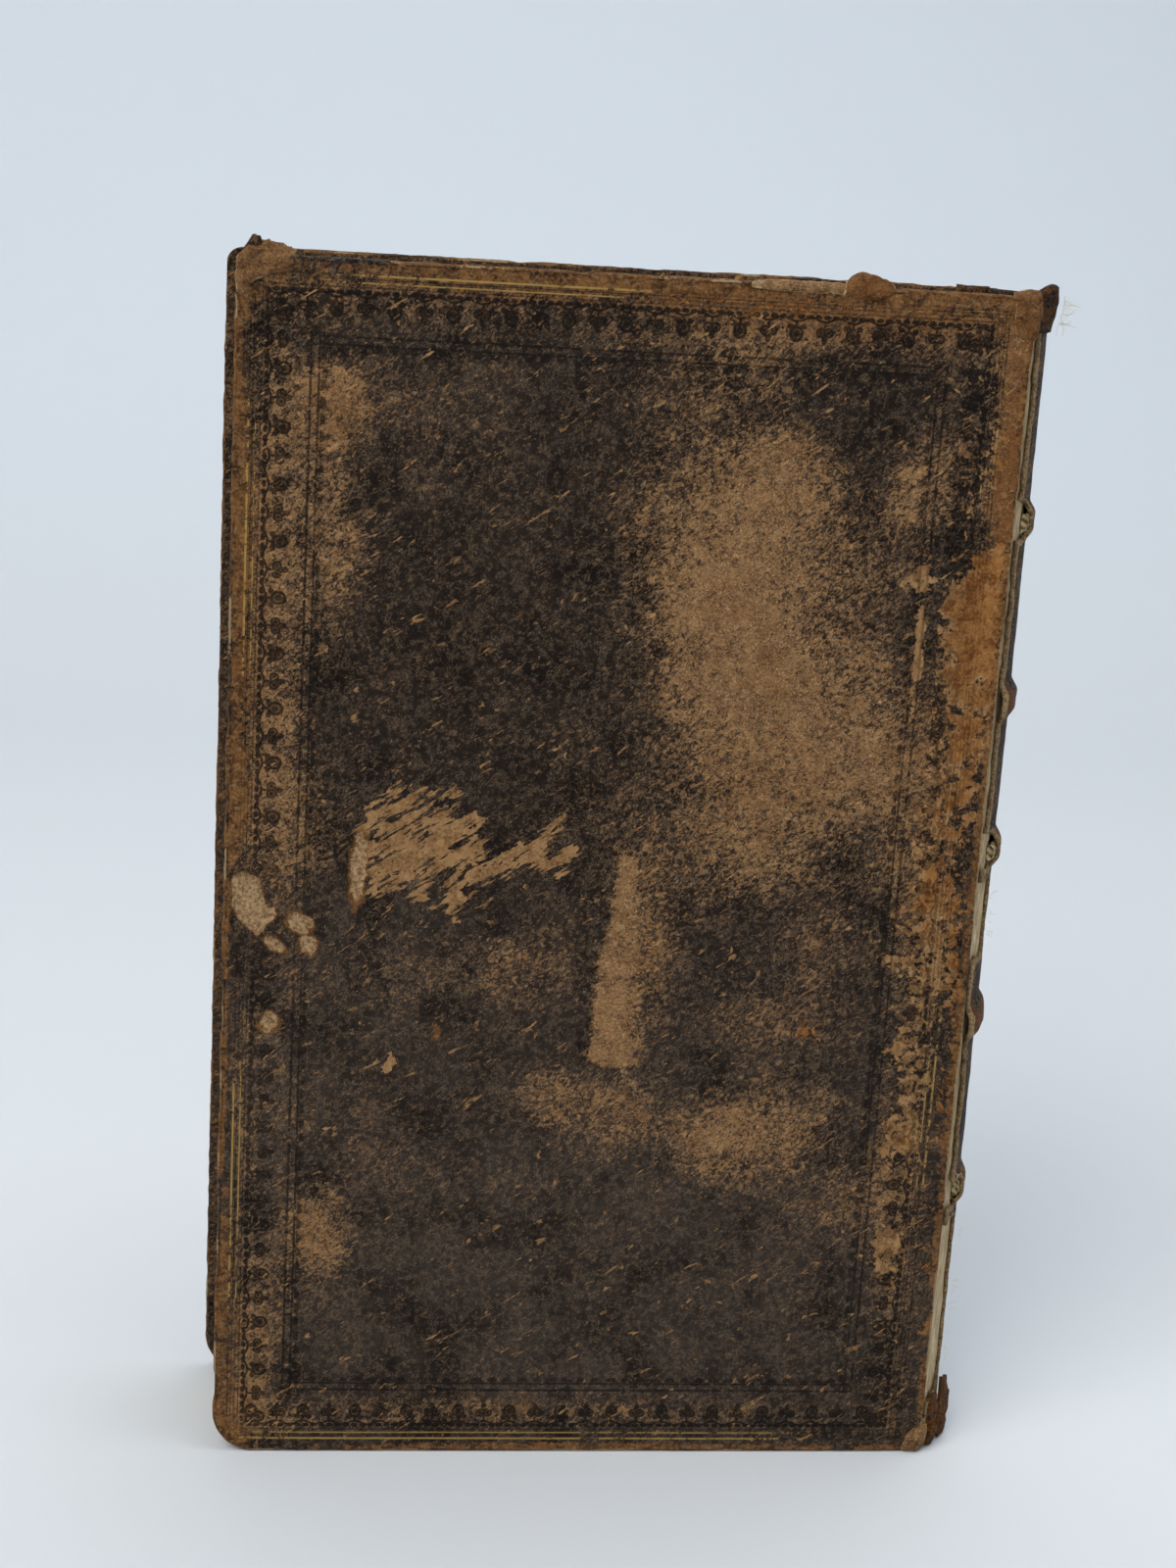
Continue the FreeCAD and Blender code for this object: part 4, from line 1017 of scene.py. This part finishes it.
# A loose tongue of leather from a net of guide points, in millimetres, worn and uneven.
def makeTongue(name, net, look):
    guide = np.array(net, float)
    for axis, count in ((0, look["rows"]), (1, look["columns"])):
        guide = np.moveaxis(guide, axis, 0)
        last = len(guide) - 1
        where = np.linspace(0, last, count)
        i = np.clip(where.astype(int), 0, last - 1)
        t = (where - i).reshape(-1, 1, 1)
        before = guide[np.maximum(i - 1, 0)]
        after = guide[np.minimum(i + 2, last)]
        first, second = guide[i], guide[i + 1]
        bow = (2 * before - 5 * first + 4 * second - after) * t ** 2
        turn = (3 * first - before - 3 * second + after) * t ** 3
        guide = 0.5 * (2 * first + (second - before) * t + bow + turn)
        guide = np.moveaxis(guide, 0, axis)
    x, y, z = guide[..., 0], guide[..., 1], guide[..., 2]
    u, v = np.meshgrid(np.linspace(0, 1, x.shape[0]), np.linspace(0, 1, x.shape[1]), indexing="ij")
    border = np.minimum(np.minimum(u, 1 - u), np.minimum(v, 1 - v))
    y = y + look["tuck"] * (1 - easeStep(border, 0, 0.2)) * (0.6 + 0.6 * softNoise(x, z, 1.4,
                                                                                   look["seed"] + 20))
    size = look["crumple"] * (0.5 + 0.9 * easeStep(border, 0, 0.3))
    for seed, cell, share in ((0, 2.2, 1.0), (5, 0.8, 0.45), (9, 0.35, 0.2)):
        x = x + size * share * softNoise(z + y, x * 0.7 + y, cell, look["seed"] + seed)
        y = y + size * share * softNoise(z - x, x + z, cell, look["seed"] + seed + 1)
        z = z + size * share * softNoise(x + y, x - z, cell, look["seed"] + seed + 2)
    index = np.arange(x.size).reshape(x.shape)
    faces = gridFaces(index)
    places = np.stack([x, y, z], -1).reshape(-1, 3) + np.array(rearCorner)
    places[:, 1] = np.maximum(places[:, 1], -16.15)
    made = meshObject(name, places * mm, faces)
    rimmed = 1 - np.clip(border * 7, 0, 1)
    count = x.size
    addValues(made, wear=np.full(count, look["wear"]), orange=np.full(count, look["orange"]),
              rub=np.full(count, look["rub"]), torn=rimmed.ravel() * look["torn"])
    skin = made.modifiers.new("thickness", "SOLIDIFY")
    skin.thickness = look["thick"] * mm
    skin.offset = 0
    skin.use_rim = True
    applyModifiers(made)
    finishPiece(made, spineMaterial, "cover_leather", look["body"])


tongueLook = {"rows": 34, "columns": 34, "crumple": 0.42, "seed": 300, "wear": 0.95, "orange": 0.3,
              "rub": 0.34, "torn": 0.8, "tuck": 0.75, "thick": 0.35, "body": "rear_cover"}
makeTongue("head_corner_fold", [
    [(0.7, 0.1, 188.6), (2.6, -0.1, 190.6), (5.2, 0.1, 192.0), (8.4, 0.3, 192.6)],
    [(0.1, -0.1, 191.6), (2.4, -0.3, 192.9), (5.0, -0.3, 193.6), (8.6, 0.0, 194.0)],
    [(0.2, 0.6, 193.6), (2.3, 0.2, 195.3), (5.2, 0.3, 195.7), (8.8, 0.6, 195.0)],
    [(0.3, 2.2, 194.2), (2.6, 2.0, 196.0), (5.4, 2.0, 196.5), (8.8, 2.2, 195.2)],
    [(0.8, 3.4, 193.6), (2.8, 3.4, 195.2), (5.4, 3.4, 195.6), (8.6, 3.3, 195.0)]],
    {**tongueLook, "crumple": 0.6})
makeTongue("head_corner_lump", [
    [(1.2, 0.3, 193.2), (2.4, -0.2, 194.0), (3.4, 0.3, 193.6)],
    [(1.3, 0.8, 195.2), (2.5, 0.4, 197.0), (3.8, 0.8, 196.2)],
    [(1.4, 2.0, 195.0), (2.7, 1.9, 196.6), (3.8, 2.0, 195.6)]],
    {**tongueLook, "seed": 320, "wear": 0.5, "orange": 0.1, "crumple": 0.35})
makeTongue("head_edge_curl", [
    [(90.4, 0.15, 193.4), (93.4, -0.1, 193.0), (95.6, 0.0, 193.2), (98.4, 0.15, 193.8)],
    [(90.6, -0.1, 194.4), (93.4, -0.6, 194.6), (95.8, -0.5, 194.4), (98.4, -0.2, 194.6)],
    [(90.9, 0.5, 195.3), (93.3, 0.0, 196.4), (95.9, 0.2, 196.0), (98.3, 0.4, 195.3)],
    [(91.2, 1.6, 195.2), (93.3, 1.5, 196.8), (95.9, 1.5, 196.1), (98.1, 1.5, 195.2)]],
    {**tongueLook, "seed": 340, "orange": 0.6, "rub": 0.5, "crumple": 0.24})
makeTongue("head_edge_strip", [
    [(76.5, 0.1, 193.9), (82, -0.02, 193.7), (88, 0.02, 193.6), (93.6, 0.1, 193.5)],
    [(76.5, 0.2, 194.6), (82, -0.1, 194.6), (88, -0.05, 194.5), (93.6, 0.1, 194.4)],
    [(77.5, 0.9, 195.0), (82, 0.7, 195.2), (88, 0.7, 195.2), (93.4, 0.9, 195.0)]],
    {**tongueLook, "seed": 350, "orange": 0.0, "rub": 0.0, "torn": 3.0, "tuck": 0.2, "thick": 0.3,
     "crumple": 0.2, "columns": 60})
makeTongue("head_joint_fold", [
    [(117.6, 0.1, 188.5), (119.4, 0.0, 188.0), (120.9, 0.4, 188.4)],
    [(117.2, -0.1, 191.4), (119.4, -0.35, 191.8), (121.3, 0.2, 191.6)],
    [(117.0, 0.1, 194.0), (119.2, -0.2, 194.6), (121.2, 0.4, 194.4)],
    [(117.2, 1.4, 195.2), (119.2, 1.3, 195.8), (121.0, 1.5, 195.6)]],
    {**tongueLook, "seed": 360, "orange": 0.5, "rub": 0.5, "crumple": 0.3})
makeTongue("tail_joint_fold", [
    [(117.4, 0.2, 0.3), (119.0, -0.1, 0.3), (120.8, 0.5, 0.4)],
    [(117.2, -0.1, 2.0), (119.2, -0.4, 2.4), (121.2, 0.2, 2.6)],
    [(118.4, 0.1, 4.4), (119.8, -0.1, 5.2), (121.2, 0.6, 6.0)]],
    {**tongueLook, "seed": 370, "orange": 0.1, "rub": 0.2, "torn": 1.2, "crumple": 0.45})
spineTongue = {**tongueLook, "body": "book_block", "wear": 0.3, "orange": 0.9, "torn": 0.3, "rub": 0.62,
               "thick": 0.6, "tuck": 0.0, "crumple": 0.32}
makeTongue("tail_strip_inner", [
    [(121.6, 2.6, 9.2), (122.6, 2.9, 9.6), (123.6, 4.2, 9.0)],
    [(121.3, 2.0, 6.0), (122.5, 2.1, 6.2), (123.7, 3.6, 6.0)],
    [(121.0, 1.6, 3.0), (122.3, 1.7, 3.0), (123.4, 3.2, 3.2)],
    [(121.2, 2.2, 0.5), (122.2, 2.3, 0.4), (123.2, 3.4, 0.6)]], {**spineTongue, "seed": 400})
makeTongue("tail_strip_outer", [
    [(124.4, 5.2, 11.6), (125.5, 6.6, 10.6), (126.0, 8.6, 10.2)],
    [(124.2, 4.6, 7.0), (125.8, 6.2, 7.0), (126.6, 8.6, 7.0)],
    [(124.0, 4.4, 3.4), (125.8, 6.0, 3.2), (126.7, 8.4, 3.2)],
    [(124.4, 4.9, 0.4), (125.4, 6.2, 0.2), (126.2, 8.2, 0.4)]], {**spineTongue, "seed": 420})
makeTongue("head_cap_tab", [
    [(121.2, 2.2, 189.4), (122.8, 3.4, 189.4), (124.2, 5.4, 189.6)],
    [(121.2, 1.6, 192.6), (123.2, 2.8, 193.0), (124.8, 5.2, 193.0)],
    [(121.4, 2.0, 195.2), (123.2, 3.0, 196.0), (124.6, 5.4, 195.4)],
    [(121.6, 4.2, 195.2), (122.6, 5.0, 195.6), (123.4, 6.4, 195.2)]],
    {**spineTongue, "seed": 440, "rub": 0.5})


# Broken fibres: curved hairs scattered on a strip of surface.
def makeFibreNodes():
    tree = bpy.data.node_groups.new("fibreScatter", "GeometryNodeTree")
    tree.interface.new_socket("Geometry", in_out="INPUT", socket_type="NodeSocketGeometry")
    for label, kind in (("Density", "NodeSocketFloat"), ("Length", "NodeSocketFloat"),
                        ("Thickness", "NodeSocketFloat"), ("Seed", "NodeSocketInt"),
                        ("Finish", "NodeSocketMaterial")):
        tree.interface.new_socket(label, in_out="INPUT", socket_type=kind)
    tree.interface.new_socket("Geometry", in_out="OUTPUT", socket_type="NodeSocketGeometry")
    source = tree.nodes.new("NodeGroupInput")
    sink = tree.nodes.new("NodeGroupOutput")
    scatter = tree.nodes.new("GeometryNodeDistributePointsOnFaces")
    tree.links.new(source.outputs["Geometry"], scatter.inputs["Mesh"])
    tree.links.new(source.outputs["Density"], scatter.inputs["Density"])
    tree.links.new(source.outputs["Seed"], scatter.inputs["Seed"])
    hair = tree.nodes.new("GeometryNodeCurveQuadraticBezier")
    hair.inputs["Resolution"].default_value = 7
    hair.inputs["Start"].default_value = (0, 0, 0)
    hair.inputs["Middle"].default_value = (0.35, 0.1, 0.45)
    hair.inputs["End"].default_value = (0.15, 0.5, 0.95)
    profile = tree.nodes.new("GeometryNodeCurvePrimitiveCircle")
    profile.inputs["Resolution"].default_value = 4
    tree.links.new(source.outputs["Thickness"], profile.inputs["Radius"])
    tube = tree.nodes.new("GeometryNodeCurveToMesh")
    tree.links.new(hair.outputs["Curve"], tube.inputs["Curve"])
    tree.links.new(profile.outputs["Curve"], tube.inputs["Profile Curve"])
    tube.inputs["Fill Caps"].default_value = True
    turn = tree.nodes.new("FunctionNodeRandomValue")
    turn.data_type = "FLOAT_VECTOR"
    turn.inputs["Min"].default_value = (-0.9, -0.9, -3.14)
    turn.inputs["Max"].default_value = (0.9, 0.9, 3.14)
    aim = tree.nodes.new("FunctionNodeRotateRotation")
    aim.rotation_space = "LOCAL"
    tree.links.new(scatter.outputs["Rotation"], aim.inputs["Rotation"])
    tree.links.new(turn.outputs["Value"], aim.inputs["Rotate By"])
    reach = tree.nodes.new("FunctionNodeRandomValue")
    reach.inputs[2].default_value = 0.35
    reach.inputs[3].default_value = 1.0
    scale = tree.nodes.new("ShaderNodeMath")
    scale.operation = "MULTIPLY"
    tree.links.new(reach.outputs[1], scale.inputs[0])
    tree.links.new(source.outputs["Length"], scale.inputs[1])
    copies = tree.nodes.new("GeometryNodeInstanceOnPoints")
    tree.links.new(scatter.outputs["Points"], copies.inputs["Points"])
    tree.links.new(tube.outputs["Mesh"], copies.inputs["Instance"])
    tree.links.new(aim.outputs["Rotation"], copies.inputs["Rotation"])
    tree.links.new(scale.outputs[0], copies.inputs["Scale"])
    real = tree.nodes.new("GeometryNodeRealizeInstances")
    finish = tree.nodes.new("GeometryNodeSetMaterial")
    tree.links.new(copies.outputs["Instances"], real.inputs["Geometry"])
    tree.links.new(real.outputs["Geometry"], finish.inputs["Geometry"])
    tree.links.new(source.outputs["Finish"], finish.inputs["Material"])
    tree.links.new(finish.outputs["Geometry"], sink.inputs["Geometry"])
    return tree


fibreNodes = makeFibreNodes()
strawMaterial = makePlainMaterial("strawFibre", "#b3a878", "#ddd6b2", "#8f8a5e", 2.0, 0.02)


# Strips are pairs of points in the rear cover's millimetres; each carries a row of hairs.
def makeFibres(name, strips, look):
    origin = np.array(rearCorner)
    points = []
    faces = []
    for lowEnd, highEnd, width in strips:
        first = len(points)
        for end in (lowEnd, highEnd):
            points.append((np.array(end) + origin) * mm)
            points.append((np.array(end) + np.array(width) + origin) * mm)
        faces.append((first, first + 1, first + 3, first + 2))
    made = meshObject(name, points, faces)
    scatter = made.modifiers.new("fibres", "NODES")
    scatter.node_group = fibreNodes
    inputs = [item for item in fibreNodes.interface.items_tree if item.in_out == "INPUT"]
    sockets = {item.name: item.identifier for item in inputs}
    scatter[sockets["Density"]] = look["density"]
    scatter[sockets["Length"]] = look["length"] * mm
    scatter[sockets["Thickness"]] = look["thickness"] / look["length"]
    scatter[sockets["Seed"]] = look["seed"]
    scatter[sockets["Finish"]] = strawMaterial
    applyModifiers(made)
    finishPiece(made, strawMaterial, "hemp_cord", look["body"])


# The leather over the front joint.
def makeJointStrip(name, look):
    path = np.array(look["path"])
    along = np.linspace(0, len(path) - 1, look["columns"])
    x = np.interp(along, np.arange(len(path)), path[:, 0])
    y = np.interp(along, np.arange(len(path)), path[:, 1])
    z = np.linspace(look["low"], look["high"], look["rows"])
    x, z = np.meshgrid(x, z, indexing="ij")
    y = np.repeat(y[:, None], z.shape[1], axis=1)
    inner = np.sin(np.linspace(0, np.pi, look["columns"]))[:, None]
    for seed, cell, size in ((0, 6.0, 0.1), (3, 1.2, 0.06), (6, 0.5, 0.03)):
        shift = size * inner * softNoise(z, x, cell, look["seed"] + seed)
        x = x + shift
        y = y + shift
    z = z + 0.25 * softNoise(x, y, 1.6, look["seed"] + 9) * (np.abs(z - look["middle"]) > look["straight"])
    index = np.arange(x.size).reshape(x.shape)
    faces = gridFaces(index)
    made = meshObject(name, np.stack([x, y, z], -1).reshape(-1, 3) * mm, faces)
    rub = look["rub"] + 0.5 * softNoise(z, x, 5.0, look["seed"] + 12)
    addValues(made, wear=np.full(x.size, look["wear"]), orange=np.full(x.size, look["orange"]),
              rub=np.clip(rub, 0, 1).ravel(), torn=np.zeros(x.size))
    skin = made.modifiers.new("thickness", "SOLIDIFY")
    skin.thickness = look["thick"] * mm
    skin.offset = 0
    skin.use_rim = True
    applyModifiers(made)
    made.data.materials.clear()
    made.data.materials.append(spineMaterial)
    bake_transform(made)


jointLook = {"path": [(53.4, 15.5), (54.4, 15.6), (55.3, 15.72), (56.0, 15.55), (56.45, 14.95),
                      (56.95, 14.3), (57.6, 13.65), (58.2, 13.0)],
             "columns": 15, "rows": 320, "low": 0.4, "high": 195.0, "middle": 97.5, "straight": 90,
             "seed": 410, "wear": 0.45, "orange": 0.3,
             "rub": 0.15, "thick": 0.3, "start": (0.0566, 0.0149, 0.1), "end": (0.0549, 0.0157, 0.1)}
makeJointStrip("front_joint_leather", jointLook)


makeFibres("head_joint_threads", [((124.9, 3.4, 190.6), (125.5, 3.8, 194.4), (0.5, 0.7, 0))],
           {"density": 9000000.0, "length": 3.0, "thickness": 0.035, "seed": 4, "body": "book_block"})
makeFibres("spine_fibres", [
    ((121.2, 1.4, 104.0), (121.8, 1.4, 109.0), (1.6, 1.6, 0)),
    ((121.2, 1.4, 158.0), (121.6, 1.4, 162.0), (1.4, 1.6, 0)),
    ((121.0, 1.4, 45.0), (121.4, 1.4, 49.0), (1.6, 1.6, 0)), ((124.4, 5.8, 12.0), (124.8, 6.0, 40.0),
                                                              (0.5, 0.9, 0)),
    ((124.2, 5.8, 89.0), (124.4, 6.0, 100.0), (0.5, 0.9, 0))],
           {"density": 900000.0, "length": 1.5, "thickness": 0.03, "seed": 8, "body": "book_block"})
makeFibres("cover_fibres", [
    ((119.6, 0.2, 1.0), (120.6, 0.2, 6.0), (0, 0.6, 0)), ((0.1, 1.0, 186.0), (0.2, 1.0, 192.0), (0, 1.0, 0)),
    ((78.0, 0.4, 194.8), (93.0, 0.4, 194.9), (0, 0.8, 0)), ((0.4, 0.6, 8.0), (0.1, 0.6, 20.0), (0, 0.8, 0))],
           {"density": 1100000.0, "length": 1.2, "thickness": 0.025, "seed": 12, "body": "rear_cover"})
print("small pieces made")

studio = {"floor": "#d8dce0", "wall": "#d8dfe6", "depth": 0.85, "width": 3.2, "rise": 1.6, "curve": 0.35,
          "world": "#e3e8ee", "worldStrength": 0.5}


# A pale paper sweep: floor, a wide bend and a wall.
def makeSweep(look):
    profile = [(-1.2, 0.0), (look["depth"] - look["curve"], 0.0)]
    for step in range(1, 13):
        angle = math.pi / 2 * step / 12
        profile.append((look["depth"] - look["curve"] + look["curve"] * math.sin(angle),
                        look["curve"] * (1 - math.cos(angle))))
    profile.append((look["depth"], look["rise"]))
    points = [(side * look["width"] / 2, y, z) for side in (-1, 1) for y, z in profile]
    count = len(profile)
    faces = [(i, i + count, i + count + 1, i + 1) for i in range(count - 1)]
    sweep = meshObject("paper_sweep", points, faces)
    material, tree, shader = newMaterial("paleSweep", 0.7, 0.2)
    place = placeInMm(tree)
    x, y, z = splitVector(tree, place)
    cloud = noiseField(tree, place, 0.004, 2.0, 0.5)
    tint = mixTones(tree, (z + cloud * 60.0).step(10.0, 160.0), look["floor"], look["wall"])
    tree.links.new(tint.socket, shader.inputs["Base Color"])
    sweep.data.materials.append(material)


def addPanel(name, place, target, width, height, power, colour):
    light = bpy.data.lights.new(name, "AREA")
    light.shape = "RECTANGLE"
    light.size = width
    light.size_y = height
    light.energy = power
    light.color = colour
    panel = bpy.data.objects.new(name, light)
    panel.location = place
    panel.rotation_euler = (Vector(target) - Vector(place)).to_track_quat("-Z", "Y").to_euler()
    bpy.context.scene.collection.objects.link(panel)


makeSweep(studio)
world = bpy.data.worlds.new("studioWorld")
world.use_nodes = True
world.node_tree.nodes["Background"].inputs["Color"].default_value = tone(studio["world"])
world.node_tree.nodes["Background"].inputs["Strength"].default_value = studio["worldStrength"]
bpy.context.scene.world = world
addPanel("softKey", (-0.62, -0.72, 1.05), (0, 0, 0.1), 0.9, 0.9, 12.0, (1.0, 0.975, 0.94))
addPanel("softTop", (0.25, 0.05, 1.1), (0, 0, 0.1), 1.0, 0.7, 5.0, (0.95, 0.98, 1.0))

view = {"place": (-0.045818, -0.37005, 0.20745), "yaw": 6.432, "pitch": 14.293, "roll": 3.419, "lens": 54}


def addCamera(look):
    yaw, pitch, roll = (math.radians(look[k]) for k in ("yaw", "pitch", "roll"))
    forward = Vector((math.sin(yaw) * math.cos(pitch), math.cos(yaw) * math.cos(pitch), -math.sin(pitch)))
    right = Vector((math.cos(yaw), -math.sin(yaw), 0))
    upward = right.cross(forward)
    turnedRight = right * math.cos(roll) + upward * math.sin(roll)
    turnedUp = upward * math.cos(roll) - right * math.sin(roll)
    camera = bpy.data.objects.new("camera", bpy.data.cameras.new("camera"))
    camera.data.lens = look["lens"]
    camera.data.sensor_width = 36
    camera.data.clip_start = 0.01
    camera.matrix_world = Matrix.Translation(look["place"]) @ Matrix(
        (turnedRight, turnedUp, -forward)).transposed().to_4x4()
    bpy.context.scene.collection.objects.link(camera)
    bpy.context.scene.camera = camera


addCamera(view)
scene = bpy.context.scene
scene.view_settings.view_transform = "Standard"
scene.cycles.max_bounces = 4
scene.cycles.diffuse_bounces = 2
scene.cycles.glossy_bounces = 2
scene.cycles.use_adaptive_sampling = True
scene.cycles.adaptive_threshold = 0.04
scene.cycles.adaptive_min_samples = 12
scene.render.resolution_x = 1200
scene.render.resolution_y = 1600
print("studio and camera placed")
